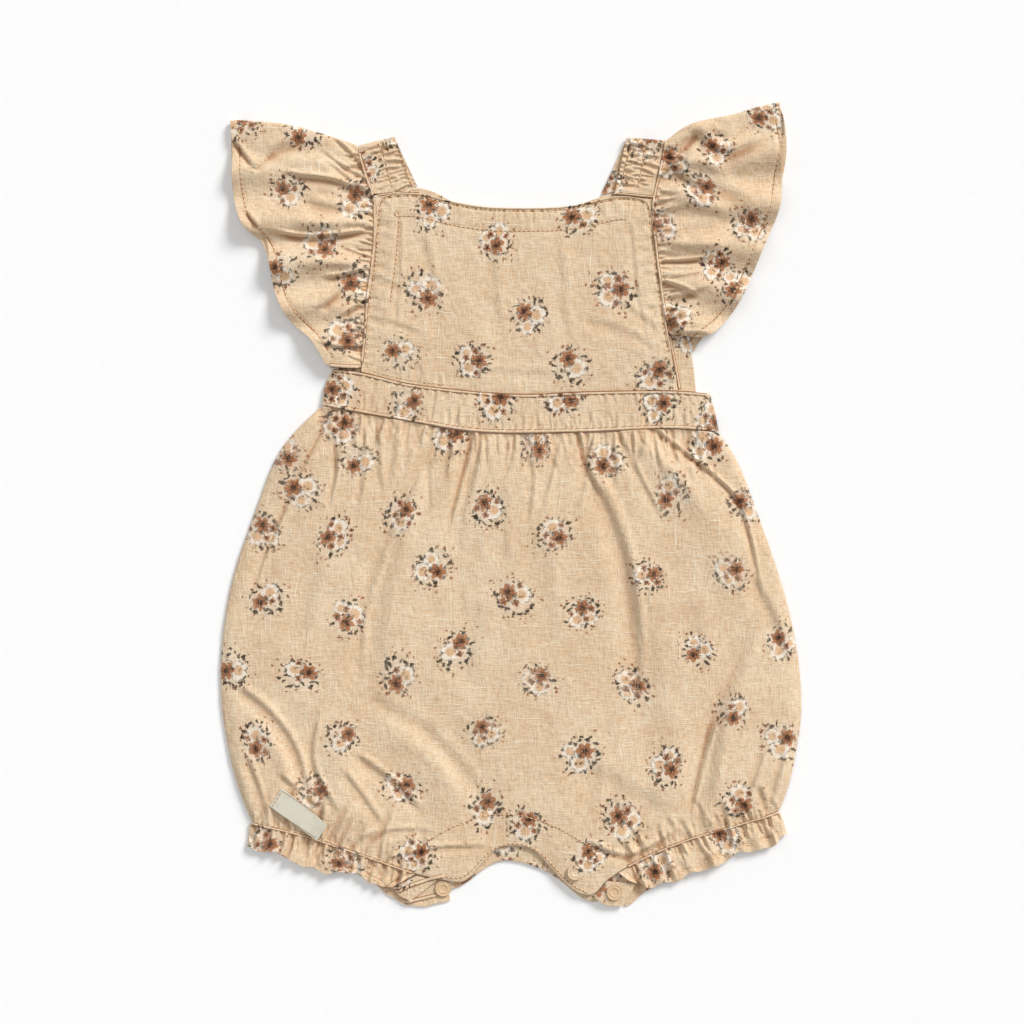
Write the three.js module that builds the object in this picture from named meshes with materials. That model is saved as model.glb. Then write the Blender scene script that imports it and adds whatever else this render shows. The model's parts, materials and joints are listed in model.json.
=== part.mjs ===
import * as THREE from 'three';

// A baby romper of printed linen, laid flat with its front up: a bib and two gathered shoulder
// sleeves over a waistband, and a bloomer with two elastic leg ruffles and a snap crotch.
// Millimetres, with x to the right, y towards the neck and z up from the table.
// The romper lies in two layers. The back touches the table and the front lies over it.

const clothWall = 1.4; // one layer of the gathered linen with its seam allowance
const ruffleWall = 1.2;
const bandWall = 1.8; // the waistband is folded double
const tapeWall = 1.0;
const seamGap = 0.4; // between two pieces at their seam, measured in the plane of the table
const halfSeam = seamGap / 2;
const hiddenSeam = 0.9; // the same gap between pieces of the back layer, whose faces are longer
const frontRest = 1.9; // lowest underside of the front layer, clear of the back layer
const frontReach = 3.4; // how far the front layer can rise off the back one
const rollIn = 3; // width of a side edge that rolls down to the table
const backInset = 4; // the back layer ends this far inside a rolled side edge
const rollDrop = 0.4; // height of the front layer's underside along a rolled side edge
const rim = 0.02; // share of a panel taken by the narrow row of faces along each edge

const linen = { color: 0xdcc09c, roughness: 0.9, metalness: 0 };
const tape = { color: 0xf1ece2, roughness: 0.85, metalness: 0 };
const snapPaint = { color: 0xd9bd98, roughness: 0.5, metalness: 0.1 };

// Curves in the plane of the table. Each takes a share from 0 to 1 and gives [x, y].

const smooth = (points) =>
  new THREE.CatmullRomCurve3(points.map(([x, y]) => new THREE.Vector3(x, y, 0)), false, 'centripetal');

function alongLength(points) {
  const curve = smooth(points);
  curve.arcLengthDivisions = 400;
  return (share) => {
    const at = curve.getPointAt(share);
    return [at.x, at.y];
  };
}

// The same curve, with the share counted along one axis, for an edge that never doubles back.
function alongAxis(points, axis) {
  const fine = smooth(points).getPoints(600).map((point) => [point.x, point.y]);
  const first = fine[0][axis];
  const last = fine[fine.length - 1][axis];
  const forward = Math.sign(last - first);
  return (share) => {
    const wanted = first + (last - first) * share;
    let step = 1;
    while (step < fine.length - 1 && (fine[step][axis] - wanted) * forward < 0) step += 1;
    const before = fine[step - 1];
    const after = fine[step];
    const part = (wanted - before[axis]) / (after[axis] - before[axis] || 1);
    return [before[0] + (after[0] - before[0]) * part, before[1] + (after[1] - before[1]) * part];
  };
}

const alongX = (points) => alongAxis(points, 0);
const alongY = (points) => alongAxis(points, 1);
const edge = (from, to) => alongLength([from, to]);

// The stretch of such a curve between two places on its axis, moved by dx and dy. Two pieces
// that share a seam take it from one curve, moved half a seam gap each way.
function stretch(curve, axis, from, to, dx, dy) {
  const first = curve(0)[axis];
  const last = curve(1)[axis];
  return (share) => {
    const [x, y] = curve((mix(from, to, share) - first) / (last - first));
    return [x + dx, y + dy];
  };
}

const seamOfX = (curve, from, to, dy = 0) => stretch(curve, 0, from, to, 0, dy);
const seamOfY = (curve, from, to, dx = 0) => stretch(curve, 1, from, to, dx, 0);
const moved = (points, dx, dy) => points.map(([x, y]) => [x + dx, y + dy]);
const withEnds = (points, first, last) => [first, ...points.slice(1, -1), last];
const mix = (a, b, share) => a + (b - a) * share;
const bump = (distance, width) => Math.exp(-((distance / width) ** 2));

// A panel between four edge curves: u runs from the left edge to the right, v from the bottom up.
function panel({ bottom, top, left, right }) {
  const [c00, c10, c01, c11] = [bottom(0), bottom(1), top(0), top(1)];
  return (u, v) =>
    [0, 1].map((axis) => {
      const rows = mix(bottom(u)[axis], top(u)[axis], v);
      const columns = mix(left(v)[axis], right(v)[axis], u);
      const corners = mix(mix(c00[axis], c10[axis], u), mix(c01[axis], c11[axis], u), v);
      return rows + columns - corners;
    });
}

// Shares from 0 to 1 with a narrow first and last step, so that an edge keeps its own faces.
function stops(count, edge = rim) {
  const inner = Array.from({ length: count - 1 }, (_, step) => edge + ((1 - 2 * edge) * step) / (count - 2));
  return [0, ...inner, 1];
}

const table = (columns, rows) =>
  rows.map((row) => Object.fromEntries(columns.map((column, place) => [column, row[place]])));

// Soft folds of a panel, each a straight ridge or, with a rise below 0, a trough from one place
// to another, bent sideways by bend at its middle, and near and far wide at its two ends.
const foldColumns = ['x0', 'y0', 'x1', 'y1', 'bend', 'near', 'far', 'rise'];

function reliefOf(folds) {
  return (x, y) =>
    folds.reduce((height, fold) => {
      const dx = fold.x1 - fold.x0;
      const dy = fold.y1 - fold.y0;
      const length = Math.hypot(dx, dy);
      const along = ((x - fold.x0) * dx + (y - fold.y0) * dy) / length;
      const across = ((y - fold.y0) * dx - (x - fold.x0) * dy) / length;
      const share = Math.min(1, Math.max(0, along / length));
      const past = Math.max(0, -along, along - length);
      const width = mix(fold.near, fold.far, share);
      const aside = across - fold.bend * 4 * share * (1 - share);
      return height + fold.rise * bump(aside, width) * bump(past, width * 1.5);
    }, 0);
}

// A closed wall of cloth. place gives the outer and the inner point of each grid place.
function clothMesh(name, finish, us, vs, place) {
  const positions = [];
  const triangles = [];
  const columns = us.length;
  const rows = vs.length;
  const grid = vs.map((v) => us.map((u) => place(u, v)));
  for (const side of ['outer', 'inner']) {
    for (const row of grid) for (const point of row) positions.push(...point[side]);
  }
  const at = (side, column, row) => side * rows * columns + row * columns + column;
  const quad = (a, b, c, d) => triangles.push(a, b, c, a, c, d);
  for (let row = 0; row < rows - 1; row += 1) {
    for (let column = 0; column < columns - 1; column += 1) {
      const corners = [[column, row], [column + 1, row], [column + 1, row + 1], [column, row + 1]];
      quad(...corners.map(([c, r]) => at(0, c, r)));
      quad(...corners.reverse().map(([c, r]) => at(1, c, r)));
    }
  }
  for (let column = 0; column < columns - 1; column += 1) {
    quad(at(0, column + 1, 0), at(0, column, 0), at(1, column, 0), at(1, column + 1, 0));
    quad(at(0, column, rows - 1), at(0, column + 1, rows - 1), at(1, column + 1, rows - 1), at(1, column, rows - 1));
  }
  for (let row = 0; row < rows - 1; row += 1) {
    quad(at(0, 0, row), at(0, 0, row + 1), at(1, 0, row + 1), at(1, 0, row));
    quad(at(0, columns - 1, row + 1), at(0, columns - 1, row), at(1, columns - 1, row), at(1, columns - 1, row + 1));
  }
  if (enclosed(positions, triangles) < 0) triangles.reverse();
  const geometry = new THREE.BufferGeometry();
  geometry.setAttribute('position', new THREE.Float32BufferAttribute(positions, 3));
  geometry.setIndex(triangles);
  geometry.computeVertexNormals();
  const mesh = new THREE.Mesh(geometry, new THREE.MeshStandardMaterial({ ...finish, side: THREE.DoubleSide }));
  mesh.name = name;
  return mesh;
}

function enclosed(positions, triangles) {
  const corner = (index) => new THREE.Vector3().fromArray(positions, 3 * index);
  let volume = 0;
  for (let start = 0; start < triangles.length; start += 3) {
    const [a, b, c] = [0, 1, 2].map((step) => corner(triangles[start + step]));
    volume += a.dot(b.cross(c)) / 6;
  }
  return volume;
}

// A panel that lies over the table: under gives the height of its underside.
function layer(name, finish, shape, under, wall, columns, rows, edge = rim) {
  return clothMesh(name, finish, stops(columns, edge), stops(rows, edge), (u, v) => {
    const [x, y] = shape(u, v);
    const z = under(x, y, u, v);
    return { outer: [x, y, z + wall], inner: [x, y, z] };
  });
}

// A panel's rise off the layer below it, never less than nothing and never past frontReach.
const settled = (height) => frontReach * (1 - Math.exp(-Math.max(0, height) / frontReach));

// The panel's side edges roll down towards the table over the width rollIn.
function rolled(height, fromSide) {
  const share = Math.min(1, fromSide / rollIn);
  return mix(rollDrop, frontRest + height, share * (2 - share));
}

// A strip that runs up the front, turns over at a fold line and runs down the back.
// front and back are panels whose v runs up to the same fold line at v = 1.
function foldedStrip(name, finish, { front, back, over, wall, across, frontRows, backRows, outward }) {
  const turns = [0.25, 0.5, 0.75];
  const rimShare = 0.03;
  const way = [
    ...stops(frontRows, rimShare).map((v) => ({ leg: 'front', v })),
    ...turns.map((turn) => ({ leg: 'turn', turn })),
    ...stops(backRows, rimShare).reverse().map((v) => ({ leg: 'back', v })),
  ];
  const half = wall / 2;
  const low = half;
  const place = (u, index) => {
    const { leg, v, turn } = way[index];
    if (leg === 'front') {
      const [x, y] = front(u, v);
      const z = frontRest + half + over(u, v);
      return { outer: [x, y, z + half], inner: [x, y, z - half] };
    }
    if (leg === 'back') {
      const [x, y] = back(u, v);
      return { outer: [x, y, low - half], inner: [x, y, low + half] };
    }
    const [x, y] = front(u, 1);
    const high = frontRest + half + over(u, 1);
    const radius = (high - low) / 2;
    const angle = turn * Math.PI;
    const point = (reach) => {
      const out = reach * Math.sin(angle);
      return [x + outward[0] * out, y + outward[1] * out, (high + low) / 2 + reach * Math.cos(angle)];
    };
    return { outer: point(radius + half), inner: point(radius - half) };
  };
  return clothMesh(name, finish, stops(across, rimShare), way.map((_, index) => index), place);
}

// Waistband edges, left to right
const bandTop = [[-101, 77], [-84.5, 75], [-61, 69], [-38.5, 66], [4, 62.5], [38.5, 64], [93, 64.5], [110.5, 63]];
const bandBottom = [[-107, 56.5], [-100, 55], [-57.5, 47.5], [-20, 41.5], [38.5, 41.5], [90, 43.5], [115.5, 41.5]];

// Bloomer edges: the two sides from the leg up, and the lower edge from the left leg's elastic
// over the crotch to the right leg's elastic
const sideLeft = [
  [-146, -178], [-150.5, -167.5], [-156.5, -150], [-163, -114], [-164, -96], [-163, -78], [-157.5, -42.5],
  [-145.5, -6.5], [-132, 29.5], [-126.5, 38.5], [-117.5, 47.5], [-107, 56.5],
];
const sideRight = [
  [148.5, -172], [152.5, -165.5], [160, -132], [162, -114], [159, -78], [150.5, -42.5], [138, -6.5],
  [131.5, 11.5], [124.5, 29.5], [115.5, 41.5],
];
const legLeft = [[-146, -178], [-120, -184], [-90.5, -193.5], [-54, -206]];
const legRight = [[59, -202.5], [73, -197.5], [101, -186], [120, -180.5], [148.5, -172]];
const crotchFront = [
  [-42.5, -208.5], [-27.5, -210.5], [-18, -201], [-8.5, -191.5], [4, -190.5], [12, -193], [22.5, -204],
  [33, -214.5], [39, -217.5], [44.5, -218], [52.5, -209.5],
];
const crotchBack = [
  [-42.5, -213], [-31.5, -215.5], [-26, -211.5], [-8.5, -198.5], [4, -199.5], [17, -204], [29.5, -211.5],
  [39, -221], [50.5, -223.5], [56, -212],
];

const bodyFolds = table(foldColumns, [
  // long falls from the waist on the left
  [-43, 24, -74, -35, 3, 5, 8, -2.2],
  [-74, -35, -86, -120, 4, 8, 11, -2.6],
  [-56, -12, -68, -86, 2, 8, 10, 2.2],
  [-25, 26, -34, -18, 2, 4, 9, -2.4],
  [-35, 20, -46, -22, 1, 5, 9, 1.8],
  [-100, 52, -133, -17, 3, 3, 6, -2.4],
  [-133, -17, -152, -68, 0, 5, 8, -1.8],
  [-100, 40, -99, 10, 0, 4, 6, -1.6],
  [-90, 44, -108, -8, 2, 4, 9, 1.8],
  // long falls from the waist on the right
  [41, 26, 57, -18, -3, 5, 7, -2.8],
  [57, -18, 70, -80, -2, 7, 9, -3.2],
  [70, -80, 70, -122, 0, 8, 12, -2],
  [47, 4, 60, -54, -2, 7, 9, 2.4],
  [66, -20, 83, -78, 2, 8, 12, 2.4],
  [80, 40, 126, 3, 6, 4, 7, -2.4],
  [126, 3, 142, -56, 4, 6, 8, -1.8],
  [72, 40, 122, -26, 5, 5, 12, 2.6],
  [135, -42, 153, -80, 2, 6, 8, -2],
  [5, -10, 12, -80, 0, 18, 24, 1],
  // falls that the leg elastic draws up on the left
  [-78, -109, -48, -125, 3, 7, 7, -2.4],
  [-48, -125, -11, -170, 3, 7, 6, -2.8],
  [-64, -128, -32, -160, 3, 8, 8, 2.6],
  [-85, -143, -48, -177, 3, 7, 6, -2.4],
  [-152, -105, -123, -132, 5, 7, 7, -3],
  [-123, -132, -111, -174, 5, 7, 6, -3],
  [-141, -118, -124, -146, 3, 7, 7, 2.4],
  [-100, -130, -92, -172, 2, 8, 7, 1.8],
  // falls that the leg elastic draws up on the right
  [38, -147, 78, -169, -3, 6, 6, -2.4],
  [78, -169, 101, -173, 0, 6, 5, -2],
  [49, -143, 83, -160, -2, 8, 7, 2.2],
  [134, -76, 105, -139, -4, 7, 7, -3],
  [105, -139, 101, -165, 0, 7, 6, -2.6],
  [128, -109, 119, -162, -3, 8, 7, 2.4],
  [92, -120, 88, -158, 0, 8, 7, 1.6],
]);

const bibFolds = table(foldColumns, [
  [-66, 163, -70, 90, 2, 3, 5, 0.9],
  [-72, 130, -50, 84, 0, 4, 8, 0.9],
  [74, 150, 84, 80, -2, 3, 5, 0.9],
  [50, 110, 86, 84, -3, 5, 7, 1.1],
  [-30, 130, -22, 78, 0, 8, 10, 0.6],
  [22, 140, 30, 80, 0, 9, 10, 0.7],
]);

// Gathers: the ripples that the waist seam and the leg elastic draw the bloomer into
const waistGathers = 21;
const gather = { rise: 1.5, reach: 30, start: 4 };
const legGather = { rise: 1.2, reach: 16 };

function ripple(u, count, drift) {
  const swing = u * count + 0.3 * Math.sin(u * drift) + 0.18 * Math.sin(u * drift * 2.7);
  const strength = 0.7 + 0.3 * Math.sin(u * drift * 1.9 + 1);
  return strength * (0.5 + 0.5 * Math.cos(2 * Math.PI * swing));
}

const waistTop = alongX(bandTop);
const waistLow = alongX(bandBottom);
const footFront = alongX([...legLeft, ...crotchFront, ...legRight.slice(1)]);
const footBack = alongX([...legLeft.slice(0, -1), ...crotchBack, ...legRight.slice(1)]);
const bodyTopEdge = seamOfX(waistLow, -107, 115.5, -halfSeam);
const bodyFrontShape = panel({
  top: bodyTopEdge,
  bottom: seamOfX(footFront, -146, 148.5, halfSeam),
  left: alongY(withEnds(sideLeft, [-146, -178 + halfSeam], [-107, 56.5 - halfSeam])),
  right: alongY(withEnds(sideRight, [148.5, -172 + halfSeam], [115.5, 41.5 - halfSeam])),
});
const bodyRelief = reliefOf(bodyFolds);

function bodyFrontUnder(x, y, u, v) {
  const fromTop = bodyTopEdge(u)[1] - y;
  const fromFoot = Math.hypot(x - bodyFrontShape(u, 0)[0], y - bodyFrontShape(u, 0)[1]);
  const fromSide = Math.min(x - bodyFrontShape(0, v)[0], bodyFrontShape(1, v)[0] - x);
  const onLeg = 1 - bump(x - 3, 42);
  const waist = gather.rise * ripple(u, waistGathers, 17) * Math.exp(-fromTop / gather.reach);
  const start = 0.45 + 0.55 * (1 - Math.exp(-fromTop / gather.start));
  const leg = legGather.rise * ripple(u, waistGathers, 11) * Math.exp(-fromFoot / legGather.reach) * onLeg;
  const balloon = 1.6 * bump(fromFoot - 22, 20) * onLeg;
  const puff = 1.7 * (1 - Math.exp(-fromSide / 12)) * (1 - Math.exp(-fromTop / 14)) * (1 - Math.exp(-fromFoot / 16));
  return rolled(settled(puff + balloon + waist * start + leg + bodyRelief(x, y)), fromSide);
}

function bodyFront() {
  return layer('body_front', linen, bodyFrontShape, bodyFrontUnder, clothWall, 84, 18, 0.012);
}

function bodyBack() {
  const top = seamOfX(waistLow, -107 + backInset, 115.5 - backInset, -halfSeam);
  const bottom = seamOfX(footBack, -146 + backInset, 148.5 - backInset, halfSeam);
  const shape = panel({
    top,
    bottom,
    left: alongY(withEnds(moved(sideLeft, backInset, 0), bottom(0), top(0))),
    right: alongY(withEnds(moved(sideRight, -backInset, 0), bottom(1), top(1))),
  });
  return layer('body_back', linen, shape, () => 0, clothWall, 34, 7);
}

// The waistband, in one front and one back piece
function waistbandFront() {
  const top = seamOfX(waistTop, -101, 110.5, -halfSeam);
  const bottom = seamOfX(waistLow, -107, 115.5, halfSeam);
  const shape = panel({
    top,
    bottom,
    left: alongLength([bottom(0), [-106, 67], top(0)]),
    right: alongLength([bottom(1), [113.5, 52], top(1)]),
  });
  const under = (x, y, u, v) => {
    const fromSide = Math.min(x - shape(0, v)[0], shape(1, v)[0] - x);
    return rolled(0.25 + 0.35 * ripple(u, 19, 13), fromSide);
  };
  return layer('waistband_front', linen, shape, under, bandWall, 38, 4, 0.03);
}

function waistbandBack() {
  const top = seamOfX(waistTop, -101 + backInset, 110.5 - backInset, -halfSeam);
  const bottom = seamOfX(waistLow, -107 + backInset, 115.5 - backInset, halfSeam);
  const shape = panel({ top, bottom, left: edge(bottom(0), top(0)), right: edge(bottom(1), top(1)) });
  return layer('waistband_back', linen, shape, () => 0, clothWall, 18, 3, 0.05);
}

// Armhole seams from the waist up to the shoulder, on the front and on the back
const armFrontLeft = alongY([
  [-85, 77], [-82.5, 102], [-81.5, 120], [-78.5, 138], [-77.5, 155.5], [-78, 173.5], [-82, 183], [-87, 201],
]);
const armFrontRight = alongY([
  [92.5, 63], [91, 78.5], [86.5, 96.5], [84.5, 114.5], [82, 132], [80, 150], [78.5, 171], [81.5, 182], [86, 204],
]);
const armBackLeft = alongY([
  [-98, 77], [-94, 102], [-89, 120], [-84.5, 138], [-82, 155.5], [-82.5, 173.5], [-84.5, 181.5], [-87, 201],
]);
const armBackRight = alongY([
  [103, 63], [101, 85.5], [97, 97.5], [91.5, 114.5], [87, 132], [83.5, 150], [82, 171], [82, 179.5], [86, 204],
]);
const neckFront = [
  [-77.8, 174], [-52.5, 175.5], [-36, 171], [-16, 167.5], [4, 167], [27.5, 167.5], [47, 171], [56.5, 174], [78.3, 172],
];
const neckBack = [
  [-84.3, 181.5], [-53, 178.5], [-41, 176.5], [-35, 171], [-20, 165], [20, 164], [46, 172.5], [62, 177],
  [81.6, 179.5],
];

function bibFront() {
  const top = alongX(neckFront);
  const bottom = seamOfX(waistTop, -84.8, 92.2, halfSeam);
  const shape = panel({
    top,
    bottom,
    left: seamOfY(armFrontLeft, bottom(0)[1], top(0)[1], halfSeam),
    right: seamOfY(armFrontRight, bottom(1)[1], top(1)[1], -halfSeam),
  });
  const relief = reliefOf(bibFolds);
  const under = (x, y, u, v) => {
    const fromEdge = Math.min(u, 1 - u, v, 1 - v);
    return frontRest + settled(0.5 * (1 - Math.exp(-fromEdge / 0.08)) + relief(x, y));
  };
  return layer('bib_front', linen, shape, under, clothWall, 20, 10, 0.02);
}

function bodiceBack() {
  const top = alongX(neckBack);
  const bottom = seamOfX(waistTop, -97.8, 102.8, halfSeam);
  const shape = panel({
    top,
    bottom,
    left: seamOfY(armBackLeft, bottom(0)[1], top(0)[1], halfSeam),
    right: seamOfY(armBackRight, bottom(1)[1], top(1)[1], -halfSeam),
  });
  return layer('bodice_back', linen, shape, () => 0, clothWall, 16, 8, 0.03);
}

// Shoulder straps, drawn up into small ripples and folded over at the shoulder
function strap(name, { left, right, backLeft, backRight }) {
  const sides = (from, to) => panel({ bottom: edge(from(0), to(0)), top: edge(from(1), to(1)), left: from, right: to });
  const over = (u, v) => 0.3 + 0.8 * ripple(v + 0.06 * Math.sin(u * 5), 5, 6) * Math.sin(Math.PI * (0.1 + 0.8 * u));
  return foldedStrip(name, linen, {
    front: sides(left, right),
    back: sides(backLeft, backRight),
    over,
    wall: ruffleWall,
    across: 5,
    frontRows: 16,
    backRows: 5,
    outward: [0, 1],
  });
}

function straps() {
  const shoulderLeft = 200.5;
  const shoulderRight = 203.5;
  const outLeft = seamOfY(armFrontLeft, 174.9, shoulderLeft, halfSeam);
  const outRight = seamOfY(armFrontRight, 172.5, shoulderRight, -halfSeam);
  const foldLeft = [-66, 205.5];
  const foldRight = [63.5, 205];
  return [
    strap('strap_left', {
      left: outLeft,
      right: edge([-57, 175.9], foldLeft),
      backLeft: seamOfY(armBackLeft, 183, shoulderLeft, halfSeam),
      backRight: edge([-53.5, 179.4], foldLeft),
    }),
    strap('strap_right', {
      left: edge([57, 174.9], foldRight),
      right: outRight,
      backLeft: edge([49.5, 174.6], foldRight),
      backRight: seamOfY(armBackRight, 181.4, shoulderRight, -halfSeam),
    }),
  ];
}

// Shoulder sleeves. Each wave runs from the seam to the hem, at shares of their lengths
// from the waist (0) to the shoulder fold (1). A rise below 0 is a trough.
const waveColumns = ['seam', 'hem', 'width', 'rise'];
const wavesLeft = table(waveColumns, [
  [0.02, 0.03, 0.05, 1.5],
  [0.12, 0.1, 0.05, 3.4],
  [0.21, 0.18, 0.04, -2.2],
  [0.3, 0.27, 0.05, 4.2],
  [0.38, 0.35, 0.045, -2.6],
  [0.46, 0.43, 0.055, 4.6],
  [0.55, 0.53, 0.045, -3.4],
  [0.65, 0.62, 0.06, 4.8],
  [0.76, 0.74, 0.05, -2.6],
  [0.83, 0.82, 0.05, 3.6],
  [0.9, 0.9, 0.04, -2.6],
]);
const wavesRight = table(waveColumns, [
  [0.1, 0.06, 0.05, 3.2],
  [0.2, 0.15, 0.045, -2.4],
  [0.3, 0.24, 0.05, 4.4],
  [0.4, 0.33, 0.045, -2.6],
  [0.5, 0.43, 0.055, 4.8],
  [0.6, 0.53, 0.045, -2.8],
  [0.68, 0.62, 0.05, 4.6],
  [0.77, 0.72, 0.05, -3.4],
  [0.85, 0.82, 0.05, 5],
  [0.93, 0.92, 0.04, -2.4],
]);

function sleeve(name, { seam, backSeam, hem, backHem, fold, waves }) {
  const tip = hem[hem.length - 1];
  const foldLine = alongLength([seam(1), ...fold, tip]);
  const half = (inner, outer) =>
    panel({ left: inner, right: alongLength(outer), bottom: edge(inner(0), outer[0]), top: foldLine });
  const over = (u, v) => {
    const waved = waves.reduce(
      (height, wave) => height + wave.rise * bump(v - mix(wave.seam, wave.hem, u), wave.width), 0);
    const flare = 0.25 + 0.75 * u;
    const atFold = mix(1, 0.45, v ** 6);
    return Math.max(0.1, 0.4 + (2.2 * Math.min(1, u * 2.5) + waved * flare) * atFold);
  };
  return foldedStrip(name, linen, {
    front: half(seam, hem),
    back: half(backSeam, backHem),
    over,
    wall: ruffleWall,
    across: 7,
    frontRows: 34,
    backRows: 9,
    outward: [0, 1],
  });
}

function sleeves() {
  const tipLeft = [-158, 214.5];
  const tipRight = [149.5, 224.5];
  return [
    sleeve('sleeve_left', {
      seam: seamOfY(armFrontLeft, 77.8, 200.5, -halfSeam),
      backSeam: seamOfY(armBackLeft, 77.8, 200.5, -hiddenSeam),
      hem: [
        [-104.5, 79], [-112.5, 93], [-124.5, 103.5], [-133, 119], [-136, 136], [-140.5, 148], [-149.5, 155],
        [-154, 164], [-156.5, 176], [-157, 198.5], tipLeft,
      ],
      backHem: [
        [-103, 80], [-110, 93], [-121.5, 103.5], [-130, 119], [-133, 136], [-138, 149], [-147.5, 156.5],
        [-153, 166], [-156.5, 178], [-158, 198.5], tipLeft,
      ],
      fold: [[-92, 203.5], [-108, 206.5], [-119, 211], [-138.5, 213.5]],
      waves: wavesLeft,
    }),
    sleeve('sleeve_right', {
      seam: seamOfY(armFrontRight, 96.5, 203.5, halfSeam),
      backSeam: seamOfY(armBackRight, 86.5, 203.5, hiddenSeam),
      hem: [
        [102.5, 94.5], [110, 95.5], [122, 107], [131.5, 123.5], [139.5, 143.5], [147.5, 161.5], [150.5, 175.5],
        [150.5, 190], [149, 203], tipRight,
      ],
      backHem: [
        [104, 93], [110, 97.5], [120, 109], [129.5, 125.5], [137.5, 145.5], [146, 163.5], [150.5, 180],
        [154.5, 200], [155, 213], tipRight,
      ],
      fold: [[102, 214.5], [117.5, 215.5], [133.5, 221]],
      waves: wavesRight,
    }),
  ];
}

// Leg ruffles: a gathered strip below each leg elastic, folded over at the outer side of the leg
const ruffleWaves = 10;

function legRuffle(name, { seam, hem, backSeam, backHem, outward, drift }) {
  const half = (upper, lower) =>
    panel({
      left: upper,
      right: alongLength(lower),
      bottom: edge(upper(0), lower[0]),
      top: edge(upper(1), lower[lower.length - 1]),
    });
  const over = (u, v) => {
    const flare = 0.35 + 0.65 * u;
    const calm = Math.min(1, (1 - v) * 12 + 0.35);
    return 0.2 + 3 * ripple(v, ruffleWaves, drift) * flare * calm;
  };
  return foldedStrip(name, linen, {
    front: half(seam, hem),
    back: half(backSeam, backHem),
    over,
    wall: ruffleWall,
    across: 4,
    frontRows: 42,
    backRows: 14,
    outward,
  });
}

function ruffles() {
  const cornerLeft = [-147, -190.5];
  const cornerRight = [152, -183];
  return [
    legRuffle('leg_ruffle_left', {
      seam: seamOfX(footFront, -54.8, -146, -halfSeam),
      backSeam: seamOfX(footBack, -36, -146, -hiddenSeam),
      hem: [
        [-67.5, -213], [-77, -212.5], [-86, -208], [-97, -206.5], [-111, -202.5], [-121, -200], [-129, -195],
        [-137.5, -195], cornerLeft,
      ],
      backHem: [
        [-35, -220], [-43, -223.5], [-57, -225.3], [-66.5, -221.5], [-78, -211.5], [-97, -205.5], [-121, -199],
        [-137.5, -194], cornerLeft,
      ],
      outward: [-1, 0],
      drift: 9,
    }),
    legRuffle('leg_ruffle_right', {
      seam: seamOfX(footFront, 59.3, 148.5, -halfSeam),
      backSeam: seamOfX(footBack, 60, 148.5, -hiddenSeam),
      hem: [
        [69.3, -210.8], [75, -213.5], [82.5, -212], [97, -207.5], [105.5, -204.5], [117.5, -199], [131.5, -193],
        [145, -190.5], cornerRight,
      ],
      backHem: [
        [63, -223.5], [75, -215.5], [82.5, -211], [97, -206.5], [117.5, -198], [131.5, -192], [145, -189.5],
        cornerRight,
      ],
      outward: [1, 0],
      drift: 7,
    }),
  ];
}

// The bound ends of the snap placket, one at the inner side of each leg
function placketTab(name, low, high) {
  const shape = panel({
    bottom: alongLength(low),
    top: alongLength(high),
    left: edge(low[0], high[0]),
    right: edge(low[low.length - 1], high[high.length - 1]),
  });
  return layer(name, linen, shape, () => frontRest, clothWall, 5, 4, 0.1);
}

// A ring snap: a low round cap with a raised ring, standing clear on the cloth below it
function snap(name, x, y, rest) {
  const capRadius = 4.5;
  const ringRadius = 3;
  const wellDepth = 0.4;
  const height = 1.3;
  const profile = [
    [0, 0], [capRadius - 0.3, 0], [capRadius, 0.3], [capRadius, height - 0.5], [capRadius - 0.5, height],
    [ringRadius, height], [ringRadius - 0.4, height - wellDepth], [0, height - wellDepth],
  ];
  const geometry = new THREE.LatheGeometry(profile.map(([radius, z]) => new THREE.Vector2(radius, z)), 18);
  geometry.rotateX(Math.PI / 2);
  const mesh = new THREE.Mesh(geometry, new THREE.MeshStandardMaterial(snapPaint));
  mesh.name = name;
  mesh.position.set(x, y, rest + seamGap);
  return mesh;
}

// The height of the bloomer front's outer side at a place, found on a fine grid of its panel
const bodyGrid = stops(120).flatMap((u) => stops(80).map((v) => {
  const [x, y] = bodyFrontShape(u, v);
  return { x, y, z: bodyFrontUnder(x, y, u, v) + clothWall };
}));

function topOfBody(x, y, within) {
  const near = bodyGrid.filter((place) => Math.hypot(place.x - x, place.y - y) < within);
  return Math.max(...near.map((place) => place.z));
}

// The woven label, bare, lying slantwise on the left of the bloomer
function label() {
  const [upper, right, lower, left] = [[-129, -157.5], [-103.5, -178], [-109.5, -187], [-136, -167.5]];
  const shape = panel({
    top: edge(upper, right), bottom: edge(left, lower), left: edge(left, upper), right: edge(lower, right),
  });
  const under = (x, y, u) => topOfBody(x, y, 4) + seamGap + 1.2 * bump(u - 1, 0.25);
  return layer('label', tape, shape, under, tapeWall, 8, 3, 0.04);
}

function romper() {
  const group = new THREE.Group();
  const tabTop = frontRest + clothWall;
  group.add(
    bodyBack(), bodyFront(), waistbandBack(), waistbandFront(), bodiceBack(), bibFront(),
    ...straps(), ...sleeves(), ...ruffles(),
    placketTab('placket_tab_left', [[-67, -213.6], [-63, -218.6], [-57, -221]], [[-54, -206.9], [-42.4, -209.3]]),
    placketTab('placket_tab_right', [[45.2, -218.4], [51, -223.3], [62, -223.7]], [[52.9, -210], [68.8, -211.3]]),
    snap('snap_right', 57, -216, tabTop),
    snap('snap_middle', 35, -204.5, topOfBody(35, -204.5, 6)),
    snap('snap_back', -38.9, -214.1, clothWall),
    label(),
  );
  const box = new THREE.Box3().setFromObject(group);
  const middle = box.getCenter(new THREE.Vector3());
  group.position.set(-middle.x, -middle.y, 0);
  return group;
}

export default romper();
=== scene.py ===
"""A baby romper of printed slub linen, laid flat: its cloth, stitching, snaps, label and stage."""

import json
import math

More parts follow.
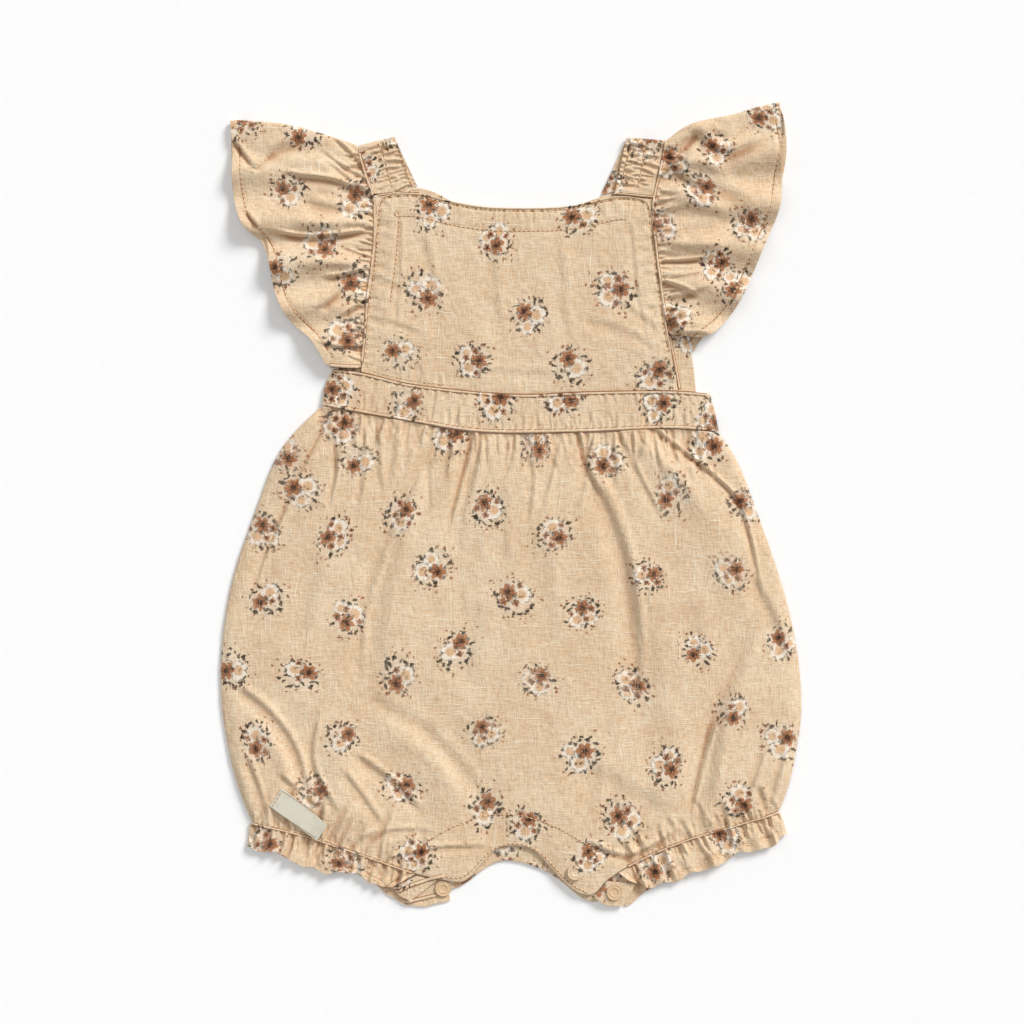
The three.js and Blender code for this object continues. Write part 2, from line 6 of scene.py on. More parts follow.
import bmesh
import bpy
import numpy as np
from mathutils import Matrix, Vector, noise
from mathutils.bvhtree import BVHTree

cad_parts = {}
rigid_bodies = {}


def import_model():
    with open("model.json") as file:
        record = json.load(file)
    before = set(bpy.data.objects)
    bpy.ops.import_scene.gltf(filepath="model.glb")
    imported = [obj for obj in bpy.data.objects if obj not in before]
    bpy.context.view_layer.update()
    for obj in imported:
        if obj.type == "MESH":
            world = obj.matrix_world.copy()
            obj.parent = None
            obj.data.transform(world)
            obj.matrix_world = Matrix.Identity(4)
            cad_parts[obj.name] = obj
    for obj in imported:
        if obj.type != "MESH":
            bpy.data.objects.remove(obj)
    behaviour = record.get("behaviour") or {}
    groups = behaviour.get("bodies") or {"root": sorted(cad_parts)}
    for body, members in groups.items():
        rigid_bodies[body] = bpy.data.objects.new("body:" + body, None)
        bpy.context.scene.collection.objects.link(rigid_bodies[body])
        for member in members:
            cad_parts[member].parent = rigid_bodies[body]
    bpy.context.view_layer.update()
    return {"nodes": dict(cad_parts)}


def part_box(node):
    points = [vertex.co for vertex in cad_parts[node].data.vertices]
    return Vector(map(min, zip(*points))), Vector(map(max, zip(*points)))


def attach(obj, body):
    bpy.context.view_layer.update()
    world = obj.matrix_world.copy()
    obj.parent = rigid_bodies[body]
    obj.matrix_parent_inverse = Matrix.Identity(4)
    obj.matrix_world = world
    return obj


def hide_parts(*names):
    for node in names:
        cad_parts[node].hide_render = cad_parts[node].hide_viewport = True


bl_info = {
    "name": "Baby romper",
    "version": (1, 0, 0),
    "blender": (4, 5, 0),
    "location": "3D View > Sidebar > Romper",
    "description": "Dresses the packed solids of a baby romper in printed linen",
    "category": "Object",
}

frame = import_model()
MM = 0.001

# Cloth pieces: the steps of subdivision that each needs to carry its creases, the size it
# was cut to in metres, and the share of that rectangle which its cut fills.
CLOTH_COLUMNS = ("node", "steps", "cut", "fills", "held")
CLOTH_ROWS = [
    ("body_back", 3, (0.36, 0.30), 0.80, "laid"),
    ("bodice_back", 3, (0.21, 0.13), 0.80, "laid"),
    ("waistband_back", 3, (0.225, 0.026), 0.95, "laid"),
    ("body_front", 2, (0.36, 0.30), 0.80, "gathered"),
    ("waistband_front", 3, (0.23, 0.027), 0.95, "laid"),
    ("bib_front", 3, (0.19, 0.12), 0.85, "laid"),
    ("strap_left", 3, (0.062, 0.025), 0.95, "folded"),
    ("strap_right", 3, (0.066, 0.026), 0.95, "folded"),
    ("sleeve_left", 3, (0.30, 0.07), 0.85, "gathered"),
    ("sleeve_right", 3, (0.30, 0.07), 0.85, "gathered"),
    ("leg_ruffle_left", 3, (0.22, 0.018), 0.95, "gathered"),
    ("leg_ruffle_right", 3, (0.22, 0.018), 0.95, "gathered"),
    ("placket_tab_left", 3, (0.022, 0.0125), 0.90, "laid"),
    ("placket_tab_right", 3, (0.022, 0.0125), 0.90, "laid"),
]
CLOTH = [dict(zip(CLOTH_COLUMNS, row)) for row in CLOTH_ROWS]

# Where the sprigs of the print lie on each piece of the front, in millimetres of the frame
SPRIGS = {
    "bib_front": [
        (-44, 164), (38, 161), (-9, 148), (-49, 119), (58, 120), (10, 106), (-62, 85), (-22, 81), (34, 78),
        (81, 71),
    ],
    "waistband_front": [(-59, 56), (-8, 58), (29, 59), (83, 56), (-96, 63), (113, 49)],
    "body_front": [
        (-34, 39), (13, 35), (-96, 44), (53, 25), (-127, 28), (-85, 25), (111, 34), (132, 0), (90, 6),
        (-118, 8),
        (-62, -6), (-13, -2), (-139, -14), (-99, -18), (24, -16), (-44, -35), (76, -40), (123, -38),
        (-136, -53),
        (-91, -63), (2, -52), (40, -60), (-156, -91), (-118, -95), (-63, -95), (-30, -81), (15, -98),
        (68, -101),
        (104, -81), (151, -77), (124, -115), (-142, -132), (-95, -130), (-15, -127), (39, -140), (87, -146),
        (152, -132), (-111, -161), (-62, -158), (-15, -170), (62, -176), (127, -165), (-53, -196), (8, -179),
        (44, -196),
    ],
    "sleeve_left": [
        (-152, 212), (-116, 209), (-124, 175), (-87, 171), (-128, 131), (-106, 146), (-86, 124), (-93, 96),
    ],
    "sleeve_right": [
        (89, 192), (142, 218), (114, 199), (133, 156), (83, 157), (106, 176), (115, 135), (125, 123),
        (90, 105),
    ],
    "leg_ruffle_left": [(-139, -190), (-93, -200)],
    "leg_ruffle_right": [(81, -202), (120, -186)],
}
SPRIG_APART = 43  # how far apart they lie in a row, where no chart places them

# Folds pressed into a piece: half width, depth and the line each follows, all in millimetres.
# A depth below 0 is a soft ridge. The steep side of a fold always faces the neck and the right,
# because the linen was smoothed down towards the lower left.
FOLDS = {
    "body_front": [
        # falls from the waist seam
        (0.9, 1.6, [(-100, 53), (-108, 37), (-118, 18), (-129, -8), (-141, -35), (-146, -56)]),
        (3.4, -0.8, [(-108, 50), (-124, 22), (-136, -8)]),
        (0.9, 1.1, [(-100, 44), (-97, 20), (-103, -4)]),
        (0.9, 1.6, [(-21, 41), (-25, 24), (-30, 6), (-34, -8), (-37, -22)]),
        (3.0, -0.8, [(-14, 36), (-22, 4), (-28, -24)]),
        (2.0, 0.8, [(-43, 34), (-56, 10), (-68, -12), (-84, -58), (-87, -112)]),
        (4.5, -0.9, [(-50, 14), (-66, -40), (-76, -96)]),
        (1.0, 1.6, [(37, 41), (40, 28), (45, 14), (52, 2)]),
        (2.8, 1.3, [(47, 12), (56, -6), (64, -30), (69, -68), (70, -120)]),
        (3.6, -0.9, [(48, 16), (60, -14), (72, -50)]),
        (1.0, 1.5, [(80, 42), (94, 31), (106, 22), (127, 4), (134, -20), (141, -58)]),
        (4.0, -0.9, [(74, 34), (98, 12), (116, -16)]),
        (1.3, 0.7, [(60, 41), (72, 14), (86, -12)]),
        (1.3, 0.6, [(10, 40), (12, 16), (8, -18)]),
        (1.3, 0.6, [(-72, 46), (-82, 22), (-88, -8)]),
        (2.2, 0.8, [(134, -40), (148, -66), (154, -92)]),
        # falls that the leg elastic draws up
        (2.2, 1.1, [(-78, -108), (-60, -117), (-46, -126), (-28, -146), (-12, -168)]),
        (3.8, -1.0, [(-64, -126), (-46, -140), (-30, -160)]),
        (2.0, 1.1, [(-86, -142), (-66, -156), (-48, -176)]),
        (1.8, 0.8, [(-94, -150), (-82, -166), (-70, -184)]),
        (2.0, 1.2, [(-152, -104), (-138, -114), (-124, -131), (-117, -150), (-112, -174)]),
        (3.2, -0.9, [(-142, -122), (-128, -140), (-122, -160)]),
        (1.5, 0.9, [(-109, -118), (-114, -144), (-104, -162), (-94, -178)]),
        (1.4, 0.8, [(-129, -152), (-116, -164), (-103, -175)]),
        (1.4, 1.0, [(-148, -142), (-142, -158), (-136, -177)]),
        (3.0, 0.6, [(42, -148), (60, -156), (80, -168), (96, -174)]),
        (2.8, 1.1, [(134, -76), (122, -100), (112, -126), (106, -148)]),
        (1.1, 1.5, [(113, -122), (106, -146), (103, -160), (98, -178)]),
        (3.0, -0.9, [(124, -112), (118, -140), (112, -168)]),
        (1.4, 1.0, [(140, -140), (134, -156), (128, -175)]),
        (1.4, 0.9, [(152, -140), (147, -156), (143, -172)]),
        # the placket over the crotch, and the fold that its right end draws
        (1.4, 1.3, [(44, -190), (54, -196), (66, -199), (78, -193), (89, -186), (100, -179)]),
        (1.3, 0.9, [(-68, -199), (-52, -195), (-37, -191.5), (-20, -192.5), (-8, -190.5)]),
        (1.6, 0.6, [(-90, -191), (-76, -184), (-58, -182), (-40, -184)]),
        # soft waves of the middle
        (5.0, 0.5, [(-20, -56), (-28, -110)]),
        (5.0, 0.5, [(14, -24), (24, -84)]),
        (5.0, 0.5, [(60, -96), (50, -140)]),
        (4.0, 0.5, [(-110, -30), (-120, -84)]),
        (4.0, 0.5, [(100, -56), (108, -96)]),
        (3.0, 0.4, [(-6, 10), (-4, -40)]),
    ],
    "bib_front": [
        (0.9, 0.45, [(-62, 158), (-63, 120), (-66, 86)]),
        (0.9, 0.45, [(67, 156), (70, 120), (78, 84)]),
        (1.6, 0.5, [(58, 114), (72, 106), (86, 94)]),
        (1.8, 0.45, [(40, 104), (62, 98), (84, 84)]),
        (1.6, 0.45, [(-78, 128), (-62, 122), (-50, 112)]),
        (1.6, 0.45, [(-80, 104), (-60, 100), (-44, 92)]),
        (2.4, 0.4, [(-50, 150), (-44, 122), (-40, 96)]),
        (2.6, 0.35, [(-12, 146), (-8, 84)]),
        (2.6, 0.35, [(26, 146), (30, 90)]),
        (1.8, 0.35, [(-30, 76), (4, 73), (40, 73)]),
    ],
    "sleeve_left": [
        (0.9, 0.9, [(-79, 184), (-86, 193), (-92, 199), (-104, 209)]),
        (1.0, 1.0, [(-80, 181), (-92, 187), (-101, 193), (-108, 200)]),
        (1.1, 1.0, [(-80, 175), (-89, 179), (-93, 184), (-108, 196)]),
        (1.4, 1.7, [(-80, 173), (-86, 175), (-93, 180), (-104, 182), (-118, 182), (-132, 186)]),
        (3.4, -1.6, [(-98, 190), (-112, 194), (-134, 192)]),
        (3.0, 1.4, [(-116, 202), (-130, 198), (-140, 192)]),
        (1.0, 2.3, [(-84, 152), (-93, 150.5), (-104, 149), (-118, 149), (-129, 151), (-139, 154)]),
        (3.4, -1.8, [(-88, 158), (-102, 157), (-124, 158)]),
        (2.6, 1.3, [(-90, 163), (-104, 165), (-120, 170)]),
        (0.9, 0.7, [(-79, 138), (-88, 141), (-96, 144)]),
        (2.8, -1.4, [(-88, 135), (-104, 136), (-120, 134)]),
        (1.2, 1.7, [(-82, 131), (-89, 128), (-96, 126.5), (-107, 126)]),
        (1.3, 2.0, [(-93, 121.5), (-97, 117.5), (-103, 112), (-108, 107)]),
        (1.2, 1.5, [(-84, 112), (-91, 108), (-96, 103)]),
        (1.0, 0.8, [(-80, 90), (-86, 89), (-90, 86)]),
        (1.0, 1.8, [(-155, 203), (-150, 196), (-143, 187)]),
        (1.0, 1.4, [(-143, 187), (-138, 192), (-132, 199)]),
        (1.0, 1.3, [(-148, 163), (-145, 158), (-141, 153)]),
        (0.8, 0.6, [(-139, 152), (-138, 146), (-135, 136)]),
    ],
    "sleeve_right": [
        (0.8, 0.9, [(86, 204), (92, 207.5), (100, 212)]),
        (1.8, 2.0, [(94, 195), (99, 200), (103, 204), (106, 210)]),
        (1.2, 1.8, [(84, 182), (90, 188), (95, 193), (101, 198)]),
        (4.0, -1.9, [(86, 199), (100, 211), (117, 213), (130, 206)]),
        (2.6, 1.9, [(103, 208), (109, 199), (118, 193), (128, 197), (142, 204), (148, 206)]),
        (3.0, -1.6, [(92, 190), (100, 192), (107, 195), (114, 187), (125, 182)]),
        (3.4, 1.4, [(103, 177), (114, 177), (126, 171), (136, 167)]),
        (1.3, 1.7, [(92, 187), (97, 182), (103, 177.5), (108, 176)]),
        (3.5, -1.5, [(90, 176), (106, 167), (128, 163)]),
        (2.6, 0.8, [(106, 216), (117, 214), (125, 210)]),
        (0.9, 0.8, [(80, 168), (86, 169), (93, 171)]),
        (1.0, 0.8, [(81, 162), (87, 163), (92, 167)]),
        (0.9, 1.9, [(84, 136), (88, 135), (95, 136), (106, 136.5), (112, 138)]),
        (1.2, 1.5, [(85, 124), (91, 122.5), (97, 122), (101, 117), (106, 114)]),
        (2.6, 0.7, [(96, 153), (106, 155), (118, 154)]),
        (2.8, -1.4, [(90, 146), (104, 145), (122, 146)]),
        (1.5, 1.6, [(90, 102), (94, 98), (96, 93)]),
        (1.2, 0.8, [(98, 95), (106, 97), (112, 94)]),
        (0.9, 0.9, [(151, 224), (152, 214), (152, 204)]),
    ],
    "body_back": [
        (2.4, 0.8, [(-96, 40), (-110, 0), (-124, -44)]),
        (2.8, 0.9, [(-60, 36), (-70, -20), (-80, -76)]),
        (2.4, 0.8, [(-22, 34), (-30, -60)]),
        (2.4, 0.8, [(24, 34), (32, -56)]),
        (2.8, 0.9, [(62, 36), (74, -20), (86, -70)]),
        (2.4, 0.8, [(98, 34), (116, -6), (130, -52)]),
        (2.4, 0.8, [(-124, -116), (-104, -146), (-90, -176)]),
        (2.4, 0.8, [(-80, -110), (-58, -150), (-40, -182)]),
        (2.4, 0.8, [(60, -120), (78, -150), (92, -178)]),
        (2.4, 0.8, [(124, -108), (116, -140), (108, -170)]),
    ],
    "bodice_back": [
        (2.0, 0.5, [(-40, 150), (-44, 118), (-46, 84)]),
        (2.2, 0.4, [(10, 150), (14, 80)]),
        (2.0, 0.5, [(52, 150), (60, 118), (64, 84)]),
    ],
}
LEAN = (0.66, 0.75)  # the way that the steep side of a fold faces

# The stitched arc of the crotch placket, the folded edges of the flap at its left end, and the
# two lines sewn along each strap
PLACKET_ARC = [(-46, -188), (-39, -183), (-17, -173.6), (4, -173), (23.5, -179), (40, -188.5), (52, -195)]
FLAP_LINES = [
    [(-63, -216.5), (-57.7, -212.4), (-51, -212), (-44.5, -208.2), (-38, -207.6)],
    [(-59.5, -222.2), (-52, -221.6), (-46.5, -219.6), (-42, -218.8)],
]
STRAP_LINES = {
    "strap_left": [[(-64, 203), (-60, 190), (-55.5, 178)], [(-73, 203), (-70, 190), (-66.5, 178)]],
    "strap_right": [[(67, 202), (64, 190), (61, 178)], [(75.5, 203), (73.5, 190), (71, 178)]],
}


def linear(hex_code):
    """The linear colour of an sRGB hex value."""
    parts = [int(hex_code[place:place + 2], 16) / 255 for place in (1, 3, 5)]
    return [c / 12.92 if c <= 0.04045 else ((c + 0.055) / 1.055) ** 2.4 for c in parts]


def paint(hex_code):
    return (*linear(hex_code), 1.0)


# Lines in the plane of the table, in millimetres

def node_edges(node):
    mesh = frame["nodes"][node].data
    points = np.array([v.co for v in mesh.vertices]) / MM
    pairs = np.array([e.vertices for e in mesh.edges])
    return points[pairs[:, 0]], points[pairs[:, 1]]


def rim_line(node, axis, side, start=0.0, end=1.0, count=60):
    """The outer line of a node on one side, as points in the plane: for places along an axis
    (0 for x, 1 for y) between two shares of the node's length, its highest or lowest reach."""
    first, second = node_edges(node)
    low = min(first[:, axis].min(), second[:, axis].min())
    high = max(first[:, axis].max(), second[:, axis].max())
    line = []
    for share in np.linspace(start, end, count):
        place = low + (high - low) * min(0.999, max(0.001, share))
        a, b = first[:, axis] - place, second[:, axis] - place
        crossing = (a * b <= 0) & (a != b)
        part = a[crossing] / (a[crossing] - b[crossing])
        reach = first[crossing, 1 - axis] * (1 - part) + second[crossing, 1 - axis] * part
        best = reach.max() if side > 0 else reach.min()
        line.append((place, best) if axis == 0 else (best, place))
    return np.array(line)


def evened(line, step):
    """The same line with its points at even steps along it."""
    line = np.asarray(line, float)
    runs = np.r_[0, np.cumsum(np.hypot(*np.diff(line, axis=0).T))]
    count = max(2, int(round(runs[-1] / step)) + 1)
    wanted = np.linspace(0, runs[-1], count)
    return np.c_[np.interp(wanted, runs, line[:, 0]), np.interp(wanted, runs, line[:, 1])]


def softened(values, rounds=3):
    values = np.array(values, float)
    for _ in range(rounds):
        values[1:-1] = (values[:-2] + 2 * values[1:-1] + values[2:]) / 4
    return values


def rounded(line, step=2.0):
    """A line of a few given points, made to bend smoothly."""
    return softened(evened(line, step), 12)


def across(line):
    """The unit normal of a line at each point, to the left of its direction."""
    ways = np.gradient(line, axis=0)
    ways /= np.maximum(1e-9, np.hypot(ways[:, 0], ways[:, 1]))[:, None]
    return np.c_[-ways[:, 1], ways[:, 0]]


def inset(line, distance):
    return softened(line + across(line) * distance)


def beside(line, x, y):
    """Each place's distance from a line, its side of it (1 on the left) and its share along it."""
    best = np.full(len(x), 1e9)
    side = np.ones(len(x))
    share = np.zeros(len(x))
    for step, (a, b) in enumerate(zip(line[:-1], line[1:])):
        way = b - a
        length = max(1e-9, float(np.hypot(*way)))
        way = way / length
        along = np.clip((x - a[0]) * way[0] + (y - a[1]) * way[1], 0, length)
        dx, dy = x - a[0] - along * way[0], y - a[1] - along * way[1]
        distance = np.hypot(dx, dy)
        closer = distance < best
        best[closer] = distance[closer]
        side[closer] = np.where(dy * way[0] - dx * way[1] >= 0, 1, -1)[closer]
        share[closer] = ((step + along / length) / (len(line) - 1))[closer]
    return best, side, share


class Chance:
    """Uneven but repeatable amounts between two values."""

    def __init__(self, seed):
        self.stream = np.random.default_rng(seed)

    def between(self, low, high):
        return float(self.stream.uniform(low, high))


def puckers(line, side, apart, reach, width, depth, seed):
    """Short uneven folds that run off a seam at right angles, as drawn thread leaves them."""
    chance = Chance(seed)
    fine = evened(line, 0.5)
    normals = softened(across(fine), 10) * side
    folds = []
    place = chance.between(0, apart)
    while place < 0.5 * (len(fine) - 1):
        index = int(place / 0.5)
        normal = normals[index]
        aside = np.array([-normal[1], normal[0]])
        start = fine[index] + normal * 0.8
        length = reach * chance.between(0.3, 1.15)
        middle = start + (normal + aside * chance.between(-0.3, 0.3)) * length * 0.5
        end = middle + (normal + aside * chance.between(-0.5, 0.5)) * length * 0.5
        wide, deep = width * chance.between(0.7, 1.3), depth * chance.between(0.35, 1.2)
        folds.append((wide, deep, [start, middle, end]))
        place += apart * chance.between(0.5, 1.5)
    return folds


def fold_section(aside, width):
    """A fold in section: a gentle fall, the bottom at 0, then a steep rise to a rounded lip."""
    gentle = np.exp(-(np.minimum(aside, 0) / (2.0 * width)) ** 2)
    steep = np.exp(-(np.maximum(aside, 0) / (0.65 * width)) ** 2)
    lip = np.exp(-((aside - 1.8 * width) / (0.9 * width)) ** 2)
    return gentle * steep - 0.65 * lip


def pressed(folds, x, y):
    """How deep a table of folds presses each place, in millimetres."""
    depth = np.zeros(len(x))
    for width, deep, line in folds:
        line = rounded(line, 3.0) if len(line) > 2 else np.asarray(line, float)
        margin = 5 * width
        low, high = line.min(0) - margin, line.max(0) + margin
        near = (x > low[0]) & (x < high[0]) & (y > low[1]) & (y < high[1])
        if not near.any():
            continue
        distance, side, share = beside(line, x[near], y[near])
        overall = line[-1] - line[0]
        leans = 1 if overall[0] * LEAN[1] - overall[1] * LEAN[0] >= 0 else -1
        ends = np.clip(np.minimum(share / 0.08 + 0.35, (1 - share) / 0.35), 0, 1)
        if deep < 0:
            section = np.exp(-(distance / width) ** 2)
        else:
            section = fold_section(distance * side * leans, width)
        depth[near] += deep * section * ends * ends * (3 - 2 * ends)
    return depth


def grooved(lines, width, deep, x, y):
    """How deep rows of stitches press each place, the same all along them."""
    depth = np.zeros(len(x))
    for line in lines:
        low, high = line.min(0) - 3 * width, line.max(0) + 3 * width
        near = (x > low[0]) & (x < high[0]) & (y > low[1]) & (y < high[1])
        if near.any():
            distance, _, _ = beside(line, x[near], y[near])
            depth[near] = np.maximum(depth[near], deep * np.exp(-(distance / width) ** 2))
    return depth


# Where pieces meet or end, each from left to right or from the waist up: the node, the axis that
# the line runs along, the side of the node it lies on, and the shares of the length it covers
RIMS = {
    "waist": ("body_front", 0, 1, 0.17, 0.85),
    "foot_left": ("body_front", 0, -1, 0.055, 0.33),
    "crotch": ("body_front", 0, -1, 0.38, 0.63, 80),
    "foot_right": ("body_front", 0, -1, 0.7, 0.96),
    "band_top": ("waistband_front", 0, 1, 0.03, 0.97),
    "band_low": ("waistband_front", 0, -1, 0.01, 0.99),
    "bib_low": ("bib_front", 0, -1, 0.01, 0.95),
    "neck": ("bib_front", 0, 1, 0.02, 0.98),
    "arm_left": ("bib_front", 1, -1, 0.03, 0.93),
    "arm_right": ("bib_front", 1, 1, 0.03, 0.93),
    "hem_left": ("sleeve_left", 1, -1, 0.02, 0.96),
    "hem_right": ("sleeve_right", 1, 1, 0.02, 0.93),
    "gather_left": ("sleeve_left", 1, 1, 0.02, 0.86),
    "gather_right": ("sleeve_right", 1, -1, 0.02, 0.84),
    "ruffle_left": ("leg_ruffle_left", 0, -1, 0.42, 0.98),
    "ruffle_right": ("leg_ruffle_right", 0, -1, 0.14, 0.96),
}
LINES = {name: evened(rim_line(*rim), 4) for name, rim in RIMS.items()}
NECK_STITCHES = [inset(LINES["neck"], -1.6), np.array([p for p in inset(LINES["neck"], -13) if p[0] < 66])]
# The armhole seam on the right runs on below the sleeve, down to the waist
SEAM_RIGHT = np.array([(95, 65), (92.6, 79), (90, 93), *[p for p in LINES["gather_right"] if p[1] > 104]])


# Gathers that a seam draws into a piece: the seam's line, the side they run off to, how far apart
# they are, their reach, half width and depth in millimetres, and a seed
BACK_PUCKERS = [
    ("waist", -1, 6, 30, 1.3, 0.6, 24),
    ("arm_left", -1, 8, 12, 1.0, 0.4, 25),
    ("arm_right", 1, 8, 12, 1.0, 0.4, 26),
]
PUCKERS = {
    "body_front": [
        ("waist", -1, 3.2, 20, 0.75, 0.95, 1), ("waist", -1, 8, 46, 1.4, 0.8, 2),
        ("foot_left", 1, 2.8, 10, 0.75, 0.85, 3), ("foot_left", 1, 6.5, 28, 1.4, 1.3, 4),
        ("foot_right", 1, 2.8, 10, 0.75, 0.85, 5), ("foot_right", 1, 6.5, 24, 1.4, 1.0, 6),
    ],
    "waistband_front": [("band_low", 1, 3.4, 12, 0.8, 0.5, 7), ("band_top", -1, 4.6, 9, 0.8, 0.45, 8)],
    "bib_front": [
        ("arm_left", -1, 4.5, 11, 0.8, 0.5, 9), ("arm_right", 1, 4.5, 11, 0.8, 0.5, 10),
        ("neck", -1, 6, 10, 0.9, 0.35, 11),
    ],
    "sleeve_left": [("gather_left", 1, 3.2, 8, 0.7, 0.8, 12), ("gather_left", 1, 9, 26, 1.5, 0.8, 13)],
    "sleeve_right": [("gather_right", -1, 3.2, 8, 0.7, 0.8, 14), ("gather_right", -1, 9, 26, 1.5, 0.8, 15)],
    "leg_ruffle_left": [("foot_left", -1, 2.6, 10, 0.65, 0.7, 20), ("foot_left", -1, 7, 20, 1.4, 1.3, 22)],
    "leg_ruffle_right": [("foot_right", -1, 2.6, 10, 0.65, 0.7, 21), ("foot_right", -1, 7, 20, 1.4, 1.3, 23)],
    "body_back": BACK_PUCKERS,
    "bodice_back": BACK_PUCKERS,
    "waistband_back": BACK_PUCKERS,
}
# Rows of stitches that press a groove into a piece
ROWS = {
    "body_front": [rounded(PLACKET_ARC)],
    "bib_front": NECK_STITCHES,
    "sleeve_left": [inset(LINES["hem_left"], -5)],
    "sleeve_right": [inset(LINES["hem_right"], 5)],
    "leg_ruffle_left": [inset(LINES["ruffle_left"], 3.5)],
    "leg_ruffle_right": [inset(LINES["ruffle_right"], 3.5)],
    **{node: [rounded(line) for line in lines] for node, lines in STRAP_LINES.items()},
}


def folds_of(node):
    """All the folds of a piece, those of its table and those that its seams draw."""
    folds = list(FOLDS.get(node, []))
    for line, *settings in PUCKERS.get(node, []):
        folds += puckers(LINES[line], *settings)
    for number, line in enumerate(STRAP_LINES.get(node, [])):
        for side, seed in ((1, 30), (-1, 40)):
            folds += puckers(rounded(line), side, 2.8, 9, 0.7, 0.9, seed + number)
    return folds


# Cloth pieces

def own_copy(node, name):
    """A merged copy of a node's solid with its triangles joined to four-sided faces."""
    work = bmesh.new()
    work.from_mesh(frame["nodes"][node].data)
    bmesh.ops.remove_doubles(work, verts=work.verts, dist=1e-6)
    bmesh.ops.join_triangles(work, faces=work.faces,
                             angle_face_threshold=math.pi, angle_shape_threshold=math.pi)
    for edge in work.edges:
        edge.smooth = True
    mesh = bpy.data.meshes.new(name)
    work.to_mesh(mesh)
    work.free()
    piece = bpy.data.objects.new(name, mesh)
    bpy.context.scene.collection.objects.link(piece)
    return piece


def alone(piece):
    """Selects one object and makes it the active one."""
    bpy.ops.object.select_all(action="DESELECT")
    piece.select_set(True)
    bpy.context.view_layer.objects.active = piece


def finish_modifier(piece, kind, **settings):
    alone(piece)
    modifier = piece.modifiers.new(kind.title(), kind)
    for key, value in settings.items():
        setattr(modifier, key, value)
    bpy.ops.object.modifier_apply(modifier=modifier.name)


def hold_rims(piece, share):
    """Keeps the edge of a wall from being rounded away: its sharp edges get a crease weight."""
    work = bmesh.new()
    work.from_mesh(piece.data)
    layer = work.edges.layers.float.new("crease_edge")
    for edge in work.edges:
        if len(edge.link_faces) == 2 and edge.calc_face_angle(0) > math.radians(55):
            edge[layer] = share
    work.to_mesh(piece.data)
    work.free()


def cut_near_folds(piece, node, longest):
    """Cuts in two the long edges of the faces that a narrow fold crosses, so that it stays crisp."""
    points, _ = vertex_table(piece.data)
    narrow = [(width, 1.0, line) for width, deep, line in folds_of(node) if width < 2.1 and deep > 0]
    near = np.abs(pressed(narrow, points[:, 0], points[:, 1])) > 0.08
    work = bmesh.new()
    work.from_mesh(piece.data)
    work.normal_update()
    work.verts.ensure_lookup_table()
    long_edges = [
        edge for edge in work.edges
        if edge.calc_length() > longest * MM and len(edge.link_faces) == 2
        and (near[edge.verts[0].index] or near[edge.verts[1].index])
        and all(face.normal.z > 0.2 for face in edge.link_faces)
    ]
    bmesh.ops.subdivide_edges(work, edges=long_edges, cuts=1, use_grid_fill=True)
    work.to_mesh(piece.data)
    work.free()


def vertex_table(mesh):
    points = np.zeros(len(mesh.vertices) * 3)
    normals = np.zeros(len(mesh.vertices) * 3)
    mesh.vertices.foreach_get("co", points)
    mesh.vertex_normals.foreach_get("vector", normals)
    return points.reshape(-1, 3) / MM, normals.reshape(-1, 3)


def unevenness(points, size, seed):
    """Slow smooth noise over the plane, one value for each point."""
    shift = Vector((seed * 17.3, seed * 5.1, 0))
    return np.array([noise.noise(Vector((x / size, y / size, 0)) + shift) for x, y, _ in points])


# How far the folds are drawn out, how deep one goes at most in a free wall and in a laid one, and
# how high a swell rises at most, in millimetres
FOLD_GAIN, FREE_DEEPEST, LAID_DEEPEST, HIGHEST = 1.35, 2.0, 1.05, 2.8


def press_folds(piece, node):
    """Presses the folds into the side of a piece that faces out: up on the front, down on the back. Keeps how
    deep each place lies, with the seams and stitch rows near it, as an attribute for the material. The
    material paints shade into the folds and stitch grooves with it, and a band of wear along the seams."""
    points, normals = vertex_table(piece.data)
    x, y = points[:, 0], points[:, 1]
    facing_up = np.clip(normals[:, 2] * 2.2, 0, 1)
    free = node.startswith(("sleeve", "leg_ruffle"))
    upper = np.ones(len(x)) if free else facing_up * (0.4 if node.endswith("back") else 1)
    under = np.clip(-normals[:, 2] * 2.2, 0, 1) * (points[:, 2] < 0.8) * (0.3 if free else 1)
    deepest = FREE_DEEPEST if free else LAID_DEEPEST
    depth = FOLD_GAIN * pressed(folds_of(node), x, y)
    seams = grooved([LINES[name] for name in SEAMS], 1.3, 1.0, x, y)
    rims = grooved(ROWS.get(node, []), 0.8, 0.45, x, y)
    swell = 0.4 * unevenness(points, 15, 1) + 0.2 * unevenness(points, 5, 2)
    troughs = deepest * np.tanh(np.maximum(0, depth - swell) / deepest)
    rises = HIGHEST * np.tanh(np.maximum(0, swell - depth) / HIGHEST)
    move = (rises - troughs - rims) * upper + np.clip(0.2 + depth * 0.5 + swell, 0, 0.9) * under
    points[:, 2] = np.maximum(0.6 * facing_up, points[:, 2] + move)
    if node.startswith("leg_ruffle"):
        # A gathered hem wanders in and out by some 2 mm
        from_seam, _, _ = beside(LINES["foot_" + node.rsplit("_", 1)[1]], x, y)
        points[:, 1] -= 3.6 * unevenness(points, 10, 3) * np.clip(from_seam / 11, 0, 1)
    piece.data.vertices.foreach_set("co", (points * MM).ravel())
    # Painted shade: this attribute darkens the cloth where folds and stitch grooves lie deep; along the seams
    # it stands for wear.
    shade_and_wear = piece.data.attributes.new("CreaseShadeAndSeamWear", "FLOAT", "POINT")
    shade_and_wear.data.foreach_set("value", np.clip(0.42 * np.maximum(0, depth - 0.15) + 0.5 * seams + rims, 0, 1))
    piece.data.update()


# Laying the print

